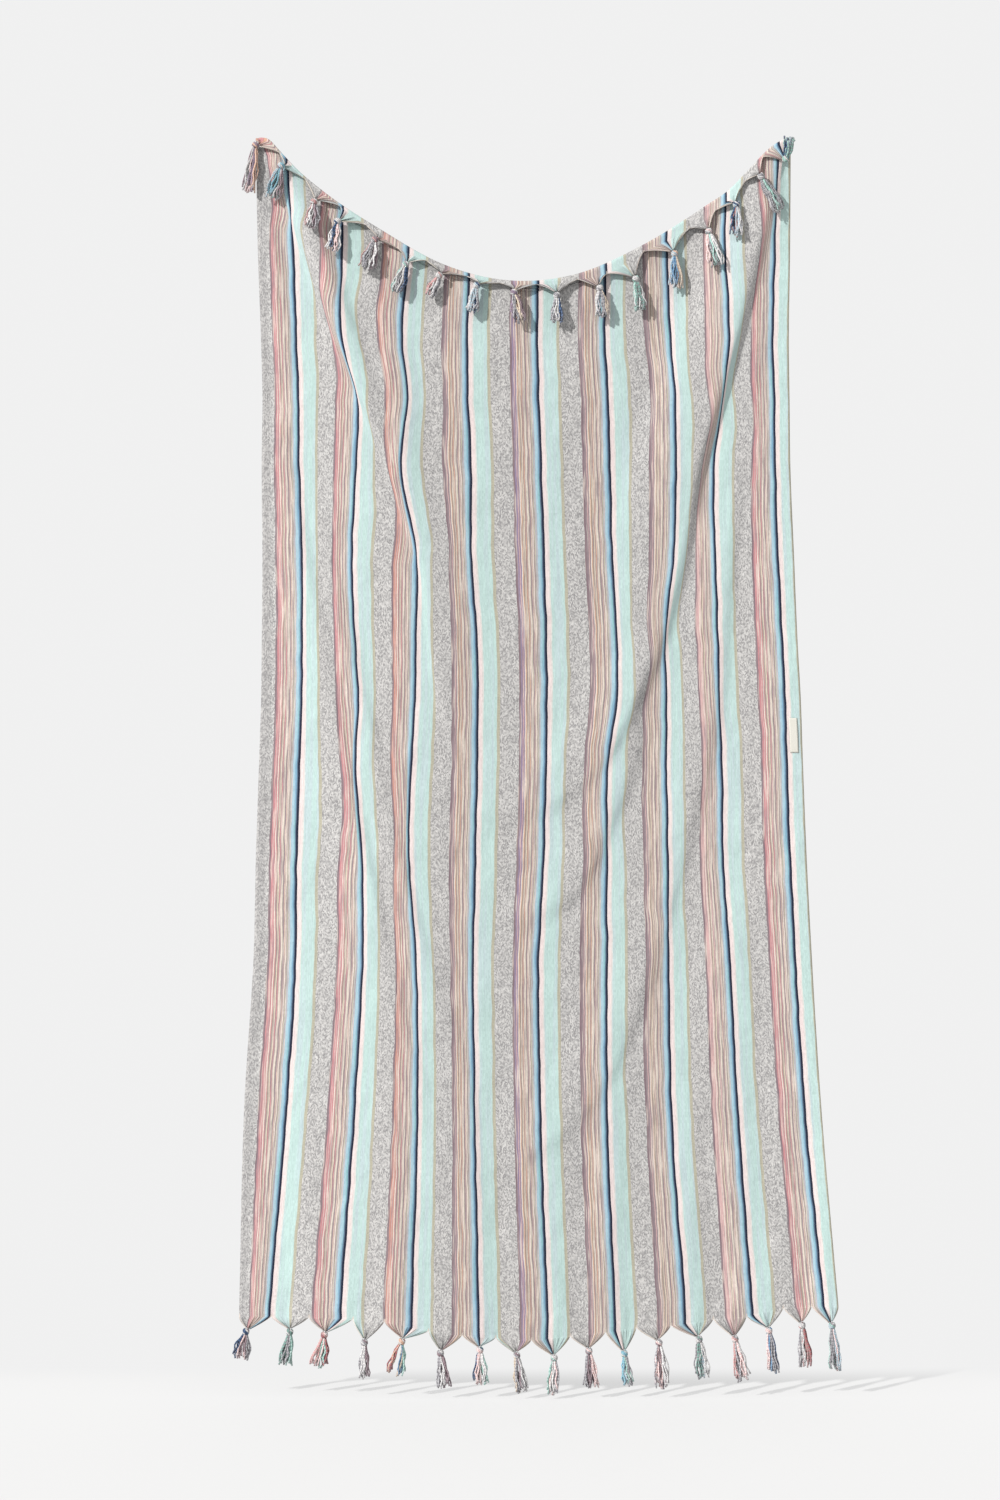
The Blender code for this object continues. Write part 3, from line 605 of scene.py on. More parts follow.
class ClothSheet:
    """The middle of the cloth, collected as points, quads, and each point's place on the flat cloth."""

    def __init__(self):
        self.points, self.faces = [], []
        self.weave, self.rim, self.gather = [], [], []

    def add_row(self, row, flat, along, rim=0.0, gather=0.0):
        first = len(self.points)
        flat, along, rim, gather, _ = np.broadcast_arrays(flat, along, rim, gather, row[:, 0])
        self.points.extend(row)
        self.weave.extend(zip(flat, along))
        self.rim.extend(rim)
        self.gather.extend(gather)
        return np.arange(first, len(self.points))

    def join_rows(self, upper, lower):
        """Quads between two rows of the same length, facing the front when lower lies below upper."""
        for j in range(len(upper) - 1):
            self.faces.append((upper[j], lower[j], lower[j + 1], upper[j + 1]))

    def add_point(self, row_ids, seat, power, way, phase):
        """A gathered point of the cloth, from its share of a notch row down to the seat of its knot."""
        row = np.array([self.points[i] for i in row_ids])
        flat, along = np.array([self.weave[i] for i in row_ids]).T
        middle = row.mean(axis=0)
        across = np.cross(seat - middle, (0.0, 1.0, 0.0))
        across /= np.linalg.norm(across)
        if np.dot(across, row[-1] - row[0]) < 0.0:
            across = -across
        side = np.linspace(-0.5, 0.5, len(row))
        spread = side[:, None] * POINT_END_WIDTH
        reach = np.linalg.norm(seat - middle)
        waves = np.sin(2 * np.pi * (GATHERS * side + phase))
        waves = waves + 0.5 * np.sin(2 * np.pi * (FINE_GATHERS * side - phase))
        rim = np.zeros(len(row))
        rim[[0, -1]] = 1.0
        above = row_ids
        for step in range(1, TAPER_ROWS + 1):
            share = step / TAPER_ROWS
            gathered = share**power
            line = middle + (seat - middle) * share
            shape = line + (row - middle) * (1.0 - gathered) + across * spread * gathered
            depth = FIRST_GATHER + (1.0 - FIRST_GATHER) * gathered
            shape[:, 1] -= GATHER_DEPTH * depth * waves * ease(share * 3)
            shape[:, 1] -= ROLLED_EDGE * np.abs(2 * side) ** 6 * ease(share * 4) * (1.0 - share)
            below = self.add_row(shape, flat, along + way * reach * share, rim, 0.25 + 0.75 * share)
            self.join_rows(above, below)
            above = below
        for i in (row_ids[0], row_ids[-1]):
            self.rim[i] = 1.0

    def add_points(self, points, row_ids, knot_of, thickness, power, way, phase_step):
        """The points below a row of notches. way is 1 where the cloth runs down, -1 where it is turned."""
        for number, point in enumerate(points):
            ids = row_ids[number * STEPS_PER_POINT : (number + 1) * STEPS_PER_POINT + 1]
            knot, _, stands = knot_of(point)
            seat = seat_of([self.points[i] for i in ids], knot, stands, thickness)
            self.add_point(ids if way < 0 else ids[::-1], seat, power, way, phase_step * number)


def turn_over(sheet, flat, x, top_drop, radius):
    """The turned strip, from its notches up and over the top edge: (row of notches, row behind the edge)."""
    depth = notches_at(flat, TOP_POINTS, TOP_POINTS[0][1])
    notch_drop = top_drop + depth
    notch_front = front_of(x, notch_drop) + 2.0 * radius
    notch_along = -np.pi * radius - np.maximum(depth - radius, 0.0)
    notch_row = sheet.add_row(placed(x, notch_front, notch_drop), flat, notch_along)
    back_front = front_of(x, top_drop + radius)
    below = notch_row
    for step in range(TURN_STEPS + 1):
        angle = np.pi * (1.0 - step / TURN_STEPS)
        front = back_front + radius * (1.0 - np.cos(angle))
        drop = top_drop + radius * (1.0 - np.sin(angle))
        row = sheet.add_row(placed(x, front, drop), flat, -radius * angle)
        sheet.join_rows(row, below)
        below = row
    return notch_row, below


def hang_down(sheet, threads, above, top_flat, start_drop):
    """The body of the cloth, from the row behind the top edge to its last row, that of the bottom notches."""
    bottom_flat = point_columns(BOTTOM_POINTS)
    end_drop = notches_at(bottom_flat, BOTTOM_POINTS, BOTTOM_CORNER_DROP)
    in_point = (np.arange(len(bottom_flat)) % STEPS_PER_POINT) / STEPS_PER_POINT - 0.5
    for step in range(1, BODY_ROWS + 1):
        share = step / BODY_ROWS
        flat = top_flat + (bottom_flat - top_flat) * share
        drop = start_drop + (end_drop - start_drop) * share
        x = threads.x_of(flat, drop)
        gathered = ease((drop - end_drop + GATHER_START) / GATHER_START)
        waves = FIRST_GATHER * GATHER_DEPTH * gathered * np.sin(2 * np.pi * GATHERS * in_point)
        row = sheet.add_row(placed(x, front_of(x, drop) + waves, drop), flat, drop)
        # The side of the cloth that faces the front on the turned strip faces the back here.
        sheet.join_rows(row, above)
        above = row
    return above


def cloth_sheet(thickness):
    threads = HangingThreads()
    flat = point_columns(TOP_POINTS)
    top_drop = top_drop_of(threads, flat)
    radius = turn_radius_of(flat)
    sheet = ClothSheet()
    notch_row, back_row = turn_over(sheet, flat, threads.x_of(flat, top_drop), top_drop, radius)
    foot_row = hang_down(sheet, threads, back_row, flat, top_drop + radius)
    sheet.add_points(TOP_POINTS, notch_row, top_knot, thickness, TOP_POINT_POWER, -1, GATHER_PHASE_STEP)
    sheet.add_points(BOTTOM_POINTS, foot_row, bottom_knot, thickness, BOTTOM_POINT_POWER, 1, 0.0)
    return sheet


class Flow:
    """A number or colour on its way through a material's nodes. Sums and products of it add Math nodes."""

    def __init__(self, finish, socket):
        self.finish = finish
        self.socket = socket

    def __add__(self, other):
        return self.finish.maths("ADD", self, other)

    def __sub__(self, other):
        return self.finish.maths("SUBTRACT", self, other)

    def __rsub__(self, other):
        return self.finish.maths("SUBTRACT", other, self)

    def __mul__(self, other):
        return self.finish.maths("MULTIPLY", self, other)

    def __truediv__(self, other):
        return self.finish.maths("DIVIDE", self, other)

    __radd__ = __add__
    __rmul__ = __mul__


class Finish:
    """A material while its nodes are put together."""

    def __init__(self, name, roughness, sheen=0.0, shine=0.25):
        self.material = bpy.data.materials.new(name)
        self.material.use_nodes = True
        self.tree = self.material.node_tree
        self.sockets = self.tree.nodes["Principled BSDF"].inputs
        self.sockets["Roughness"].default_value = roughness
        self.sockets["Specular IOR Level"].default_value = shine
        self.sockets["Sheen Weight"].default_value = sheen

    def feed(self, socket, value):
        if isinstance(value, Flow):
            self.tree.links.new(value.socket, socket)
        else:
            socket.default_value = value

    def node(self, kind, settings, inputs, output=0):
        """A node of a kind, with its settings made first, then its sockets fed by name or number."""
        made = self.tree.nodes.new(kind)
        for name, value in settings.items():
            if name == "stops":
                self.set_stops(made.color_ramp, value)
            else:
                setattr(made, name, value)
        for key, value in inputs.items():
            self.feed(made.inputs[key], value)
        return Flow(self, made.outputs[output])

    def set_stops(self, ramp, stops):
        ramp.interpolation = "CONSTANT"
        ramp.elements.remove(ramp.elements[1])
        ramp.elements[0].position, ramp.elements[0].color = stops[0]
        for position, colour in stops[1:]:
            ramp.elements.new(position).color = colour

    def maths(self, operation, *values):
        return self.node("ShaderNodeMath", {"operation": operation}, dict(enumerate(values)))

    def ramp(self, at, stops):
        return self.node("ShaderNodeValToRGB", {"stops": stops}, {0: at})

    def mix(self, share, first, second, blend="MIX"):
        settings = {"data_type": "RGBA", "blend_type": blend}
        return self.node("ShaderNodeMix", settings, {0: share, 6: first, 7: second}, 2)

    def brighten(self, colour, bright):
        light = self.node("ShaderNodeCombineColor", {}, {0: bright, 1: bright, 2: bright})
        return self.mix(1.0, colour, light, "MULTIPLY")

    def smooth_step(self, value, low, high):
        """0 as far as low, 1 from high on, and a soft change between. low may be the larger."""
        inputs = {0: value, 1: low, 2: high}
        return self.node("ShaderNodeMapRange", {"interpolation_type": "SMOOTHSTEP"}, inputs)

    def noise(self, across, along, detail=1.0):
        at = self.node("ShaderNodeCombineXYZ", {}, {0: across, 1: along})
        inputs = {"Vector": at, "Scale": 1.0, "Detail": detail}
        return self.node("ShaderNodeTexNoise", {"noise_dimensions": "2D"}, inputs)

    def cells(self, across, along):
        """A random number from 0 to 1 for each whole step of two coordinates."""
        whole = {0: self.maths("FLOOR", across), 1: self.maths("FLOOR", along)}
        at = self.node("ShaderNodeCombineXYZ", {}, whole)
        return self.node("ShaderNodeTexWhiteNoise", {"noise_dimensions": "2D"}, {"Vector": at})

    def wave(self, turns):
        """A sine wave from 0 to 1 of a count of turns."""
        return self.maths("SINE", turns * (2 * np.pi)) * 0.5 + 0.5

    def map_parts(self, name):
        """The two coordinates of one of the piece's own maps."""
        at = self.node("ShaderNodeUVMap", {"uv_map": name}, {})
        return [self.node("ShaderNodeSeparateXYZ", {}, {0: at}, part) for part in (0, 1)]

    def attribute(self, name, output=0):
        return self.node("ShaderNodeAttribute", {"attribute_name": name}, {}, output)

    def raise_surface(self, height, distance, strength=1.0):
        inputs = {"Height": height, "Distance": distance, "Strength": strength}
        self.feed(self.sockets["Normal"], self.node("ShaderNodeBump", {}, inputs))

    def colour_with(self, colour):
        self.feed(self.sockets["Base Color"], colour)
        return self.material


def linear(level):
    level = level / 255
    return level / 12.92 if level <= 0.04045 else ((level + 0.055) / 1.055) ** 2.4


def dye(name):
    return (*(linear(level) * LIGHT_GIVEN_BACK for level in DYES[name]), 1.0)


def stops_of(bands, colour_of):
    """Ramp stops of a table of bands, whose widths are shares of their sum."""
    whole = sum(width for _, width in bands)
    start = 0.0
    stops = []
    for name, width in bands:
        stops.append((start / whole, colour_of(name)))
        start += width
    return stops


def shown_as(chosen):
    """White for the chosen band's name and black for the others."""
    return lambda name: (1.0, 1.0, 1.0, 1.0) if name == chosen else (0.0, 0.0, 0.0, 1.0)


class StripedCloth(Finish):
    """The cloth's finish, whose bands are coloured one by one. Noise and waves are scaled by their changes a
    metre, across the cloth and along it."""

    def __init__(self, settings):
        super().__init__("striped_cloth", 0.88, 0.10)
        self.own = {name: (*getattr(settings, name), 1.0) for name in OWN_COLOURS}
        across, along = self.map_parts("weave")
        across = across + (self.noise(across * 16.0, along * 24.0) - 0.5) * STRIPE_WANDER
        place = (across - FIRST_STRIPE) / STRIPE_REPEAT + 1.0
        self.across = across
        self.along = along
        self.repeat = self.maths("FLOOR", place)
        self.share = self.maths("FRACT", place)
        # Space-dyed yarn: long slow changes along each thread, fine ones from thread to thread.
        self.thread = self.noise(across * 720.0, along * 10.0, 2.0)
        self.gather = self.attribute("gather", 2)
        self.ropes = self.smooth_step(self.noise(across * 150.0, along * 14.0), 0.40, 0.60)

    def colour_of(self, name):
        return self.own[name] if name in self.own else dye(name)

    def within(self, band):
        """0 at the left edge of a band and 1 at its right."""
        names = [name for name, _ in BANDS]
        whole = sum(width for _, width in BANDS)
        start = sum(width for _, width in BANDS[: names.index(band)]) / whole
        return (self.share - start) / (dict(BANDS)[band] / whole)

    def mint(self):
        """Mint, with paler and greyer yarns."""
        slow = self.noise(self.across * 160.0, self.along * 3.5)
        return self.mix(self.smooth_step(slow, 0.42, 0.70) * 0.45, self.own["mint"], dye("lilac"))

    def light_blue(self):
        """Light blue, dyed from blue to teal and back along the yarn, and deepest at the right."""
        place = self.within("light_blue")
        teal = self.smooth_step(self.noise(self.repeat * 7.0, self.along * 6.0), 0.45, 0.60)
        dark_side = self.mix(teal, dye("deep_blue"), dye("teal"))
        ragged = self.noise(self.repeat * 5.0 + 90.0, self.along * 12.0) * 0.8
        blue = self.mix(self.smooth_step(place + ragged, 0.85, 1.35), self.own["light_blue"], dark_side)
        return self.mix(self.smooth_step(place, 0.22, 0.05) * 0.6, blue, dye("pale_grey"))

    def fine_lines(self):
        """The fine lines on the tan ground, with yarns that come and go."""
        place = self.within("tan")
        steady = [(name if name in DYES else "tan", width) for name, width in FINE_LINES]
        fine = self.ramp(place, stops_of(steady, self.colour_of))
        for column, name in enumerate(("first", "second")):
            changing = [(line[column], 1.0) for line in CHANGING_LINES]
            colour = self.ramp((self.repeat + 0.5) / len(changing), stops_of(changing, self.colour_of))
            fine = self.mix(self.ramp(place, stops_of(FINE_LINES, shown_as(name))), fine, colour)
        fine = self.mix(self.smooth_step(self.thread, 0.45, 0.75) * 0.35, fine, self.own["tan"])
        stray = self.noise(self.across * 400.0, self.along * 16.0)
        fine = self.mix(self.smooth_step(stray, 0.56, 0.72) * 0.60, fine, dye("cream"))
        return self.mix(self.smooth_step(stray, 0.46, 0.30) * 0.55, fine, dye("mauve"))

    def khaki(self):
        """Khaki, with two dotted lines."""
        dotted = self.wave(self.along * 420.0) * self.wave(self.within("khaki") * 2.0 + 0.25)
        return self.mix(self.smooth_step(dotted, 0.35, 0.75) * 0.7, dye("khaki"), dye("olive"))

    def herringbone(self):
        """Grey, in a small broken herringbone of light and dark yarns."""
        zigzag = self.maths("PINGPONG", self.across + HERRINGBONE_SHIFT, HERRINGBONE_RUN)
        slant = self.along + zigzag * HERRINGBONE_SLOPE
        dashes = self.cells(self.across * 600.0, slant * 500.0)
        return self.mix(dashes * 0.68 + 0.22, dye("dark_grey"), dye("light_grey"))

    def roll_first_point(self, colour):
        """The first top point is rolled so that its coral side shows."""
        beside = self.smooth_step(self.across, ROLLED_POINT + 0.001, ROLLED_POINT - 0.001)
        turned = self.smooth_step(self.along, -0.002, -0.005)
        yarns = self.smooth_step(self.noise(self.across * 420.0, self.along * 60.0), 0.40, 0.60)
        return self.mix(beside * turned, colour, self.mix(yarns, dye("coral"), dye("orange")))

    def finish_edges(self, colour):
        """A darker left selvage, a khaki right one, and the pale rolled edge of each gathered point."""
        left = self.smooth_step(self.across, LEFT_SELVAGE, LEFT_SELVAGE - 0.007)
        right = self.smooth_step(self.across, FLAT_WIDTH - RIGHT_SELVAGE, FLAT_WIDTH - RIGHT_SELVAGE + 0.001)
        rim = self.smooth_step(self.attribute("rim", 2), 0.55, 0.75)
        colour = self.mix(left * 0.22, colour, dye("dark_grey"))
        colour = self.mix(right, colour, dye("khaki"))
        return self.mix(rim * 0.8, colour, dye("cream"))

    def shade_yarns(self, colour):
        """Brighter and darker yarns at random, painted shade in the hollows between the ropes of the gathers,
        and painted light that makes the sides brighter than the middle.
        """
        specks = self.cells(self.across * 700.0, self.along * 240.0)
        # Painted shade: the hollows between the ropes of a gather are darkened in the colour.
        painted_hollow_shade = self.gather * (1.0 - self.ropes) * 0.30
        bright = self.thread * 0.26 + specks * 0.14 + 0.82 - painted_hollow_shade
        # Painted light: the sides of the cloth are brightened and its middle darkened, as light shining
        # through the sheer cloth would do.
        from_middle = self.maths("ABSOLUTE", self.across / FLAT_WIDTH - 0.55)
        bright = bright * (self.smooth_step(from_middle, 0.15, 0.45) * 0.11 + 0.96)
        return self.brighten(colour, bright)

    def raise_weave(self):
        """The ribs of the weave, the crumples of the cloth and the ropes of its gathers."""
        ribs = self.wave(self.across * 520.0) * 0.5 + self.wave(self.along * 480.0) * 0.35
        ribs = ribs + self.noise(self.across * 400.0, self.along * 90.0) * 0.6
        crumple = self.noise(self.across * 17.0, self.along * 13.0, 2.0)
        ropes = self.ropes * self.gather * ROPE_HEIGHT
        self.raise_surface(ribs * RIB_HEIGHT + crumple * CRUMPLE_HEIGHT + ropes, 1.0)


def striped_cloth_finish(settings):
    cloth = StripedCloth(settings)
    colour = cloth.ramp(cloth.share, stops_of(BANDS, cloth.colour_of))
    bands = {
        "mint": cloth.mint(),
        "light_blue": cloth.light_blue(),
        "tan": cloth.fine_lines(),
        "khaki": cloth.khaki(),
        "light_grey": cloth.herringbone(),
    }
    for name, band in bands.items():
        colour = cloth.mix(cloth.ramp(cloth.share, stops_of(BANDS, shown_as(name))), colour, band)
    colour = cloth.finish_edges(cloth.roll_first_point(colour))
    cloth.raise_weave()
    return cloth.colour_with(cloth.shade_yarns(colour))


def yarn_finish(name):
    """Two-ply cotton yarn: the plies' colours twist round each other, fade a little and fray at the tips."""
    finish = Finish(name, 0.90, 0.12)
    around, along = finish.map_parts("strand")
    twist = finish.wave(around + along)
    ply_one, ply_two = finish.attribute("ply_one"), finish.attribute("ply_two")
    plies = finish.mix(finish.smooth_step(twist, 0.25, 0.75), ply_one, ply_two)
    fibres = finish.noise(around * 9.0, along * 7.0, 2.0)
    colour = finish.mix(finish.attribute("fray", 2) * 0.35, plies, dye("pale_grey"))
    groove = finish.maths("ABSOLUTE", twist - 0.5) * 2.0
    finish.raise_surface(groove + fibres * 0.5, 0.0006, 0.6)
    return finish.colour_with(finish.brighten(colour, fibres * 0.40 + 0.80))


def label_finish():
    finish = Finish("label_tape", 0.62)
    across, along = finish.map_parts("tape")
    weft = finish.wave(along * 900.0) * 0.5 + finish.wave(across * 1100.0) * 0.5
    worn = finish.noise(across * 260.0, along * 160.0, 3.0)
    tape = finish.mix(weft * 0.25 + worn * 0.30, dye("label_cream"), dye("stitch"))
    edge = finish.smooth_step(finish.maths("ABSOLUTE", across - 0.0055), 0.0046, 0.0050)
    finish.raise_surface(weft + edge, 0.0002, 0.5)
    return finish.colour_with(finish.mix(edge * 0.35, tape, dye("stitch")))


def grey_level(level):
    return (level, level, level, 1.0)


def stage_finish(settings):
    """Pale painted board with a very faint mottle. It glows by itself, a painted light that keeps shadows on
    it soft, and towards its back edge its glow takes on the brightness of the studio around it while its own
    colour goes black, so that shadows fade out there."""
    finish = Finish("pale_floor", 0.80, shine=0.0)
    at = finish.node("ShaderNodeTexCoord", {}, {}, 3)
    behind = finish.node("ShaderNodeSeparateXYZ", {}, {0: at}, 1)
    # Painted light: the floor's own glow, which near the back edge replaces its lit colour entirely.
    far = finish.smooth_step(behind, settings.floor_behind - FLOOR_FADE, settings.floor_behind)
    glow = finish.mix(far, grey_level(settings.floor_glow), grey_level(settings.surround))
    finish.feed(finish.sockets["Emission Color"], glow)
    finish.sockets["Emission Strength"].default_value = 1.0
    mottle = finish.node("ShaderNodeTexNoise", {}, {"Vector": at, "Scale": 3.0, "Detail": 2.0})
    darker = (0.985 * level for level in settings.floor_colour)
    board = finish.mix(mottle, (*settings.floor_colour, 1.0), (*darker, 1.0))
    return finish.colour_with(finish.mix(far, board, grey_level(0.0)))


def mesh_piece(name, points, faces, material):
    mesh = bpy.data.meshes.new(name)
    mesh.from_pydata([tuple(map(float, p)) for p in points], [], [tuple(map(int, f)) for f in faces])
    mesh.materials.append(material)
    mesh.update()
    mesh.polygons.foreach_set("use_smooth", [True] * len(mesh.polygons))
    piece = bpy.data.objects.new(name, mesh)
    bpy.context.scene.collection.objects.link(piece)
    return piece


def add_map(mesh, name, values):
    """A UV map with one pair of numbers for each corner of each face."""
    layer = mesh.uv_layers.new(name=name)
    layer.data.foreach_set("uv", np.asarray(values, np.float32).ravel())


def add_to_points(mesh, name, values, kind="FLOAT", field="value"):
    layer = mesh.attributes.new(name, kind, "POINT")
    layer.data.foreach_set(field, np.asarray(values, np.float32).ravel())


def corner_points(mesh):
    corners = np.empty(len(mesh.loops), int)
    mesh.loops.foreach_get("vertex_index", corners)
    return corners


def thicken(sheet, thickness):
    """Gives a flat sheet its thickness, half of it to each side."""
    bpy.ops.object.select_all(action="DESELECT")
    sheet.select_set(True)
    bpy.context.view_layer.objects.active = sheet
    solidify = sheet.modifiers.new("thickness", "SOLIDIFY")
    solidify.thickness = thickness
    solidify.offset = 0.0
    bpy.ops.object.modifier_apply(modifier=solidify.name)


def make_woven_cloth(settings):
    sheet = cloth_sheet(settings.thickness)
    cloth = mesh_piece("woven_cloth", sheet.points, sheet.faces, striped_cloth_finish(settings))
    add_map(cloth.data, "weave", np.array(sheet.weave)[corner_points(cloth.data)])
    add_to_points(cloth.data, "rim", sheet.rim)
    add_to_points(cloth.data, "gather", sheet.gather)
    thicken(cloth, settings.thickness)
    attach(cloth, "root")
    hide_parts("cloth")


class YarnBundle:
    """Strands of yarn collected into one mesh, each with the colours of its two plies."""

    def __init__(self, pitch):
        self.pitch = pitch
        self.points, self.faces, self.winds = [], [], []
        self.ply_one, self.ply_two, self.fray = [], [], []

    def add_strand(self, middles, radii, reference, plies, sides=5, fray=0.0):
        """A closed tube along middles, with one radius at each."""
        tangents = np.gradient(middles, axis=0)
        tangents /= np.linalg.norm(tangents, axis=1)[:, None]
        across = np.cross(tangents, reference)
        across /= np.linalg.norm(across, axis=1)[:, None]
        deep = np.cross(across, tangents)
        turns = 2 * np.pi * np.arange(sides) / sides
        out = across[:, None] * np.cos(turns)[:, None] + deep[:, None] * np.sin(turns)[:, None]
        rings = middles[:, None] + out * np.asarray(radii)[:, None, None]
        first = len(self.points)
        self.points.extend(rings.reshape(-1, 3))
        count = len(middles)
        steps = np.linalg.norm(np.diff(middles, axis=0), axis=1)
        run = np.concatenate([[0.0], np.cumsum(steps)]) / self.pitch
        for ring in range(count - 1):
            upper, lower = run[ring], run[ring + 1]
            for side in range(sides):
                a = first + ring * sides + side
                b = first + ring * sides + (side + 1) % sides
                self.faces.append((a, a + sides, b + sides, b))
                left, right = side / sides, (side + 1) / sides
                self.winds += [(left, upper), (left, lower), (right, lower), (right, upper)]
        last = first + (count - 1) * sides
        self.faces.append(tuple(range(first, first + sides)))
        self.faces.append(tuple(reversed(range(last, last + sides))))
        self.winds += [(0.5, run[0])] * sides + [(0.5, run[-1])] * sides
        self.ply_one += [plies[0]] * (count * sides)
        self.ply_two += [plies[1]] * (count * sides)
        self.fray += list(np.repeat(np.broadcast_to(fray, count), sides))

    def made(self, name, material):
        piece = mesh_piece(name, self.points, self.faces, material)
        add_map(piece.data, "strand", self.winds)
        add_to_points(piece.data, "ply_one", self.ply_one, "FLOAT_COLOR", "color")
        add_to_points(piece.data, "ply_two", self.ply_two, "FLOAT_COLOR", "color")
        add_to_points(piece.data, "fray", self.fray)
        return piece


def plies_at(yarns, side, bright=1.0):
    """The two plies of the strand at a side, from -1 at the skirt's left to 1 at its right."""
    number = int(np.clip((side * 0.5 + 0.5) * len(yarns), 0, len(yarns) - 1))
    first, second = (np.array(dye(name)) for name in YARNS[yarns[number]])
    shared = (first + second) / 2
    light = np.array((bright, bright, bright, 1.0))
    return (first + shared) / 2 * light, (second + shared) / 2 * light


class Tassel:
    """A knotted tassel while it is made, with the axis from its knot to its tip."""

    def __init__(self, knot, tip, yarns, settings, chance):
        self.knot = knot
        self.length = np.linalg.norm(tip - knot)
        self.axis = (tip - knot) / self.length
        across = np.cross(self.axis, (0.0, 1.0, 0.0))
        across /= np.linalg.norm(across)
        self.across = -across if across[0] < 0.0 else across
        self.deep = np.cross(self.across, self.axis)
        self.yarns = yarns
        self.settings = settings
        self.chance = chance
        self.bundle = YarnBundle(settings.twist_pitch)

    def line(self, down, side, front):
        """Points so far down the axis, to the side of it and in front of it."""
        on_axis = self.knot + np.outer(down, self.axis)
        return on_axis + np.outer(side, self.across) + np.outer(front, self.deep)

    def wind_knot(self):
        """A hidden core with strands wound over it. Heights and radii are shares of the knot's radius."""
        strand = self.settings.strand_radius
        wraps = self.settings.wraps
        heights = np.linspace(-0.88, 0.88, 7)
        core = self.knot + np.outer(heights, self.axis) * KNOT_RADIUS * 0.86
        radii = np.sqrt(1.0 - heights**2) * KNOT_RADIUS * 0.72
        self.bundle.add_strand(core, radii, self.deep, plies_at(self.yarns, 0.0), 8)
        start = self.chance.uniform(0.0, 2 * np.pi)
        heights = np.linspace(-0.85, 0.85, 9)
        out = np.sqrt(1.0 - (heights * 0.94) ** 2) * (KNOT_RADIUS - strand * 0.9)
        for wrap in range(wraps):
            turn = start + wrap * 2 * np.pi / wraps + (heights + 0.85) * WRAP_SLANT
            line = self.line(heights * KNOT_RADIUS * 0.84, np.cos(turn) * out, np.sin(turn) * out)
            plies = plies_at((*self.yarns, "pale"), np.cos(start + wrap * WRAP_COLOUR_STEP), 1.15)
            self.bundle.add_strand(line, np.full(len(line), strand * 1.1), self.axis, plies)

    def hang_skirt(self, half_width, parted, closing):
        """Strands that leave the knot close together and flare to uneven tips. closing is the share of its
        width that the skirt loses again at its tips."""
        settings = self.settings
        chance = self.chance
        share = np.linspace(0.0, 1.0, settings.strand_steps + 1)
        bell = (1.0 - (1.0 - share) ** 2.2) * (1.0 - closing * share**2.5)
        full_width = half_width * settings.fullness
        wide = NECK_WIDTH + (full_width - settings.strand_radius - NECK_WIDTH) * bell
        thick = NECK_DEPTH + (full_width * settings.depth - NECK_DEPTH) * bell
        skirt_start = KNOT_RADIUS * 0.5 / self.length
        for number in range(settings.strands):
            ring = np.sqrt((number + 0.6) / settings.strands)
            angle = number * GOLDEN_ANGLE + chance.uniform(-0.25, 0.25)
            place = ring * np.cos(angle)
            side = place * (1.0 - parted) + np.sign(place) * parted
            front = ring * np.sin(angle)
            long = chance.uniform(0.82, 1.02) * (1.0 - 0.05 * ring)
            waves = [
                settings.wave * np.sin(2 * np.pi * (share * chance.uniform(0.7, 2.2) + chance.uniform(0, 1)))
                for _ in range(2)
            ]
            drift = chance.uniform(-1.0, 1.0) * settings.wave * share
            line = self.line(
                (skirt_start + (1.0 - skirt_start) * share * long) * self.length,
                side * wide + (waves[0] + drift) * np.sqrt(share),
                front * thick + waves[1] * 0.4 * np.sqrt(share))
            taper = 1.0 - 0.12 * share + 0.20 * share**8
            radii = settings.strand_radius * taper * chance.uniform(0.85, 1.12)
            plies = plies_at(self.yarns, place + chance.uniform(-0.35, 0.35), chance.uniform(1.00, 1.55))
            self.bundle.add_strand(line, radii, self.deep, plies, fray=share**5)


def make_tassels(settings, side, points, skirts, knot_of, closing):
    chance = np.random.default_rng(CHANCE_SEEDS[side])
    finishes = {}
    for number, (point, skirt) in enumerate(zip(points, skirts), start=1):
        slot = "yarn_" + point[-1]
        if slot not in finishes:
            finishes[slot] = yarn_finish(slot + "_" + side)
        knot, tip, _ = knot_of(point)
        yarns, half_width, parted = skirt
        tassel = Tassel(knot, tip, yarns.split(), settings, chance)
        tassel.wind_knot()
        tassel.hang_skirt(half_width, parted, closing)
        piece = tassel.bundle.made(f"{side}_tassel_{number:02d}", finishes[slot])
        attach(piece, "root")
        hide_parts(f"tassel_{side}_{number:02d}")


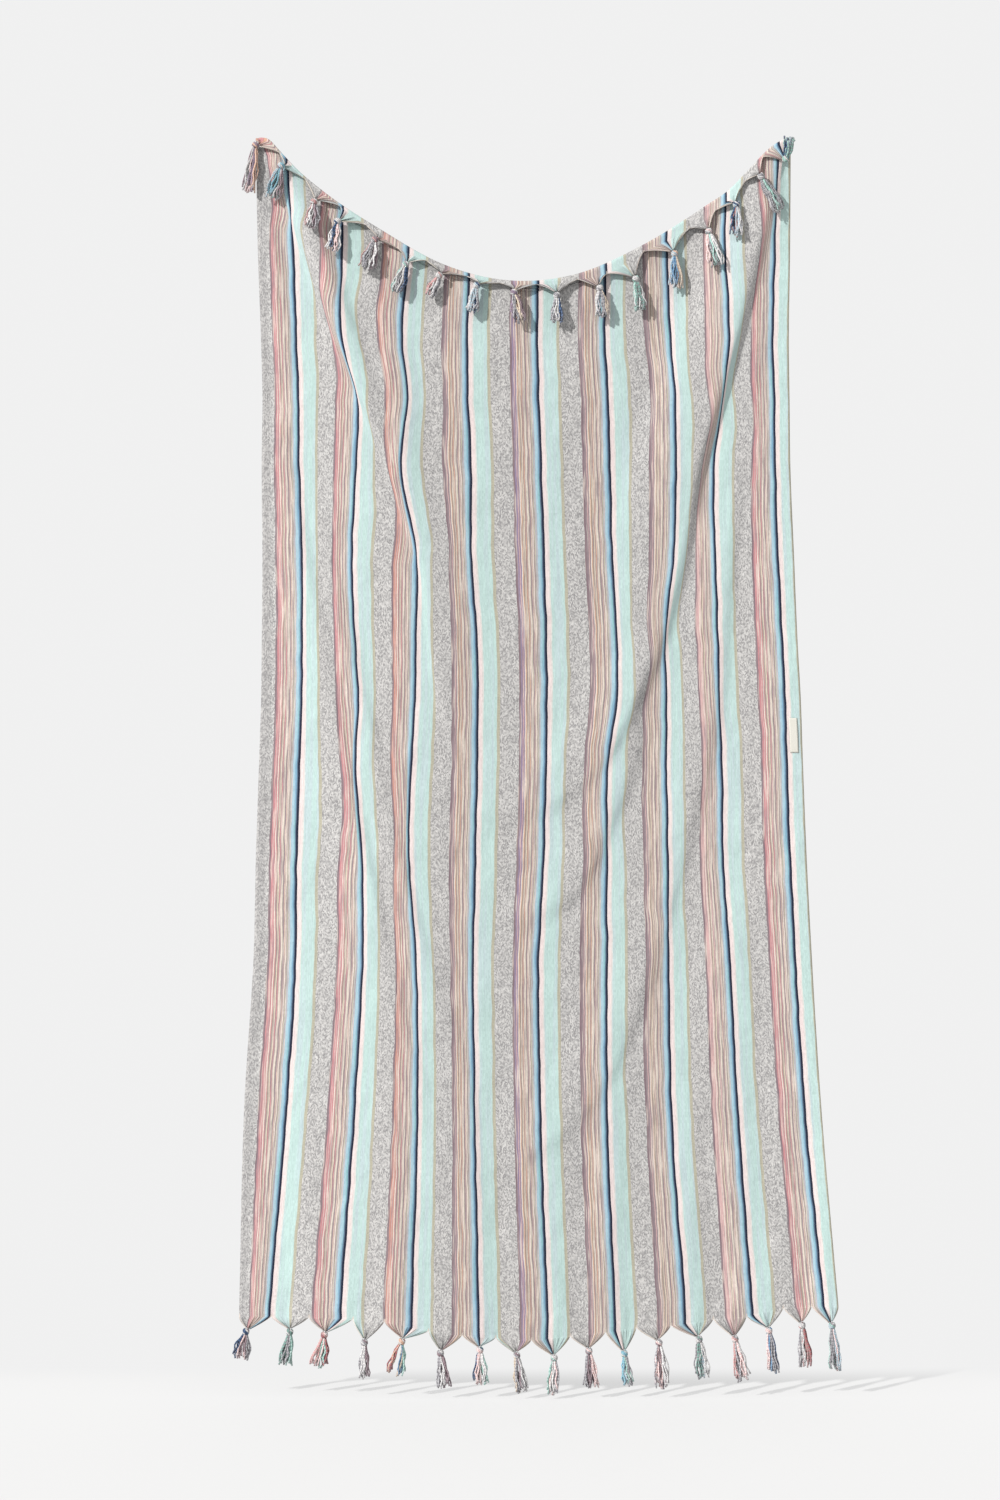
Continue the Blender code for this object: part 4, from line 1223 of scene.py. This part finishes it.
def make_sewn_label(settings):
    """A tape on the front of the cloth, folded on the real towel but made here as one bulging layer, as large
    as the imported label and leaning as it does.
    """
    low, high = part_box("label")
    cloth = bpy.data.objects.get("woven_cloth")
    if cloth is None:
        raise RuntimeError("make the woven cloth before its label")
    tree = BVHTree.FromObject(cloth, bpy.context.evaluated_depsgraph_get())
    length = high.z - low.z
    width = (high.x - low.x) - LABEL_LEAN * length
    middle = (low + high) / 2
    points = []
    flat = []
    for row in range(LABEL_ROWS + 1):
        down = (row / LABEL_ROWS - 0.5) * length
        for column in range(LABEL_COLUMNS + 1):
            side = column / LABEL_COLUMNS - 0.5
            x = middle.x + side * width + down * LABEL_LEAN
            z = middle.z - down
            hit, _, _, _ = tree.ray_cast(Vector((x, -0.5, z)), Vector((0.0, 1.0, 0.0)))
            bulge = np.sin(np.pi * (row / LABEL_ROWS)) * (0.4 + 0.6 * (column / LABEL_COLUMNS))
            points.append((x, hit.y - LABEL_GAP - LABEL_BULGE * bulge - settings.thickness / 2, z))
            flat.append(((side + 0.5) * width, down + length / 2))
    faces = []
    for row in range(LABEL_ROWS):
        for column in range(LABEL_COLUMNS):
            a = row * (LABEL_COLUMNS + 1) + column
            b = a + LABEL_COLUMNS + 1
            faces.append((a, b, b + 1, a + 1))
    label = mesh_piece("sewn_label", points, faces, label_finish())
    add_map(label.data, "tape", np.array(flat)[corner_points(label.data)])
    thicken(label, settings.thickness)
    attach(label, "root")
    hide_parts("label")


def lay_floor(settings):
    bpy.ops.object.select_all(action="DESELECT")
    bpy.ops.mesh.primitive_plane_add(size=1.0, location=(0.0, 0.0, 0.0))
    floor = bpy.context.object
    floor.name = "pale_floor"
    front, back = -FLOOR_IN_FRONT, settings.floor_behind
    corners = ((-FLOOR_SIDE, front), (FLOOR_SIDE, front), (-FLOOR_SIDE, back), (FLOOR_SIDE, back))
    for vertex, (x, y) in zip(floor.data.vertices, corners):
        vertex.co = (x, y, -FLOOR_DROP)
    floor.data.materials.append(stage_finish(settings))


def light_studio(settings):
    """Even light all round and a key light like the sun, from the left of the camera."""
    world = bpy.data.worlds.new("studio")
    world.use_nodes = True
    background = world.node_tree.nodes["Background"]
    background.inputs["Color"].default_value = (1.0, 1.0, 1.0, 1.0)
    background.inputs["Strength"].default_value = settings.surround
    bpy.context.scene.world = world
    bpy.context.scene.view_settings.view_transform = "Standard"

    key = bpy.data.lights.new("key_light", "SUN")
    key.energy = settings.key_strength
    key.angle = settings.key_softness
    key.color = KEY_COLOUR
    lamp = bpy.data.objects.new("key_light", key)
    bpy.context.scene.collection.objects.link(lamp)
    turn, height = settings.key_turn, settings.key_height
    level = np.cos(height)
    towards = Vector((level * np.sin(turn), level * np.cos(turn), -np.sin(height)))
    lamp.rotation_euler = towards.to_track_quat("-Z", "Y").to_euler()


def place_camera(settings):
    lens = bpy.data.cameras.new("camera")
    lens.lens = LENS_LENGTH
    lens.sensor_width = SENSOR_WIDTH
    camera = bpy.data.objects.new("camera", lens)
    camera.location = (CAMERA_X, -settings.camera_distance, -CAMERA_DROP)
    camera.rotation_euler = (np.pi / 2, 0.0, 0.0)
    bpy.context.scene.collection.objects.link(camera)
    bpy.context.scene.camera = camera


def colour_setting(name, description, colour):
    return bpy.props.FloatVectorProperty(
        name=name, description=description, default=colour[:3], size=3, min=0.0, max=1.0, subtype="COLOR")


def number_setting(name, description, default, low, high, **kind):
    return bpy.props.FloatProperty(
        name=name, description=description, default=default, min=low, max=high, **kind)


def length_setting(name, description, default, low, high):
    return number_setting(name, description, default, low, high, unit="LENGTH")


def angle_setting(name, description, default, low, high):
    return number_setting(name, description, default, low, high, subtype="ANGLE")


def count_setting(name, description, default, low, high):
    return bpy.props.IntProperty(name=name, description=description, default=default, min=low, max=high)


class TowelClothSettings(bpy.types.PropertyGroup):
    thickness: length_setting("Thickness", "Thickness of the woven cloth", 0.0012, 0.0005, 0.003)
    mint: colour_setting("Mint", "Colour of the mint band", dye("mint"))
    pale_pink: colour_setting("Pale pink", "Colour of the pale pink band", dye("pale_pink"))
    navy: colour_setting("Navy", "Colour of the dark stripes", dye("navy"))
    light_blue: colour_setting("Light blue", "Colour of the stripe beside each dark one", dye("light_blue"))
    tan: colour_setting("Tan", "Ground colour of the finely lined band", dye("tan"))


class TowelTasselSettings(bpy.types.PropertyGroup):
    strands: count_setting("Strands", "Strands in each skirt", 22, 6, 40)
    strand_steps: count_setting("Strand steps", "Steps along each strand", 8, 4, 12)
    wraps: count_setting("Wraps", "Strands wound over each knot", 6, 3, 9)
    strand_radius: length_setting("Strand radius", "Half the thickness of a strand", 0.0013, 0.0004, 0.002)
    twist_pitch: length_setting("Twist pitch", "Length of one full twist of the plies", 0.0052, 0.002, 0.02)
    fullness: number_setting("Fullness", "Width of the skirts against their table", 1.15, 0.5, 1.5)
    depth: number_setting("Depth", "Depth of a skirt as a share of its width", 0.40, 0.2, 1.0)
    wave: length_setting("Wave", "How far a strand wanders from its line", 0.0019, 0.0, 0.003)


class TowelLabelSettings(bpy.types.PropertyGroup):
    thickness: length_setting("Thickness", "Thickness of the label's tape", 0.0006, 0.0003, 0.001)


class TowelStageSettings(bpy.types.PropertyGroup):
    floor_colour: colour_setting("Floor", "Colour of the floor", (0.26, 0.26, 0.26))
    # floor_glow is painted light: the floor glows by itself, which keeps shadows on it soft.
    floor_glow: number_setting("Floor glow", "Light that comes through the floor", 0.50, 0.0, 2.0)
    floor_behind: length_setting("Floor behind", "How far the floor runs behind the towel", 0.26, 0.2, 5.0)
    surround: number_setting("Surround", "Brightness of the studio all round", 0.875, 0.0, 3.0)
    key_strength: number_setting("Key strength", "Strength of the key light", 4.8, 0.0, 20.0)
    key_softness: angle_setting("Key softness", "Angle that the key light fills", 0.045, 0.0, 1.0)
    key_turn: angle_setting("Key turn", "Turn of the key light to the left of the camera", 0.785, -3.2, 3.2)
    key_height: angle_setting("Key height", "Height of the key light above the horizon", 0.506, 0.0, 1.6)
    camera_distance: length_setting("Camera distance", "From the camera to the towel", 5.0, 1.0, 20.0)


class TOWEL_OT_woven_cloth(bpy.types.Operator):
    """Make the striped woven cloth, with its folds, turned top and gathered points"""

    bl_idname = "towel.woven_cloth"
    bl_label = "Woven Cloth"

    def execute(self, context):
        make_woven_cloth(context.scene.towel_cloth)
        return {"FINISHED"}


class TOWEL_OT_top_tassels(bpy.types.Operator):
    """Make the tassels along the turned top of the cloth"""

    bl_idname = "towel.top_tassels"
    bl_label = "Top Tassels"

    def execute(self, context):
        settings = context.scene.towel_tassels
        make_tassels(settings, "top", TOP_POINTS, TOP_SKIRTS, top_knot, TOP_SKIRT_CLOSING)
        return {"FINISHED"}


class TOWEL_OT_bottom_tassels(bpy.types.Operator):
    """Make the tassels along the bottom of the cloth"""

    bl_idname = "towel.bottom_tassels"
    bl_label = "Bottom Tassels"

    def execute(self, context):
        settings = context.scene.towel_tassels
        make_tassels(settings, "bottom", BOTTOM_POINTS, BOTTOM_SKIRTS, bottom_knot, BOTTOM_SKIRT_CLOSING)
        return {"FINISHED"}


class TOWEL_OT_sewn_label(bpy.types.Operator):
    """Make the small label sewn beside the right selvage"""

    bl_idname = "towel.sewn_label"
    bl_label = "Sewn Label"

    def execute(self, context):
        make_sewn_label(context.scene.towel_label)
        return {"FINISHED"}


class TOWEL_OT_stage(bpy.types.Operator):
    """Make the pale floor, the light and the camera"""

    bl_idname = "towel.stage"
    bl_label = "Stage"

    def execute(self, context):
        settings = context.scene.towel_stage
        lay_floor(settings)
        light_studio(settings)
        place_camera(settings)
        return {"FINISHED"}


class TOWEL_PT_sidebar(bpy.types.Panel):
    bl_label = "Hammam Towel"
    bl_idname = "TOWEL_PT_sidebar"
    bl_space_type = "VIEW_3D"
    bl_region_type = "UI"
    bl_category = "Towel"

    def draw(self, context):
        for operator in OPERATORS:
            self.layout.operator(operator.bl_idname)
        for name in SETTINGS:
            column = self.layout.column(align=True)
            group = getattr(context.scene, name)
            for field in group.bl_rna.properties.keys():
                if field not in ("rna_type", "name"):
                    column.prop(group, field)


OPERATORS = (
    TOWEL_OT_woven_cloth,
    TOWEL_OT_top_tassels,
    TOWEL_OT_bottom_tassels,
    TOWEL_OT_sewn_label,
    TOWEL_OT_stage,
)
SETTINGS = {
    "towel_cloth": TowelClothSettings,
    "towel_tassels": TowelTasselSettings,
    "towel_label": TowelLabelSettings,
    "towel_stage": TowelStageSettings,
}


def register():
    for kind in (*SETTINGS.values(), *OPERATORS, TOWEL_PT_sidebar):
        bpy.utils.register_class(kind)
    for name, kind in SETTINGS.items():
        setattr(bpy.types.Scene, name, bpy.props.PointerProperty(type=kind))


def unregister():
    for name in SETTINGS:
        delattr(bpy.types.Scene, name)
    for kind in reversed((*SETTINGS.values(), *OPERATORS, TOWEL_PT_sidebar)):
        bpy.utils.unregister_class(kind)


def main():
    register()
    bpy.ops.towel.woven_cloth()
    bpy.ops.towel.top_tassels()
    bpy.ops.towel.bottom_tassels()
    bpy.ops.towel.sewn_label()
    bpy.ops.towel.stage()


if __name__ == "__main__":
    main()
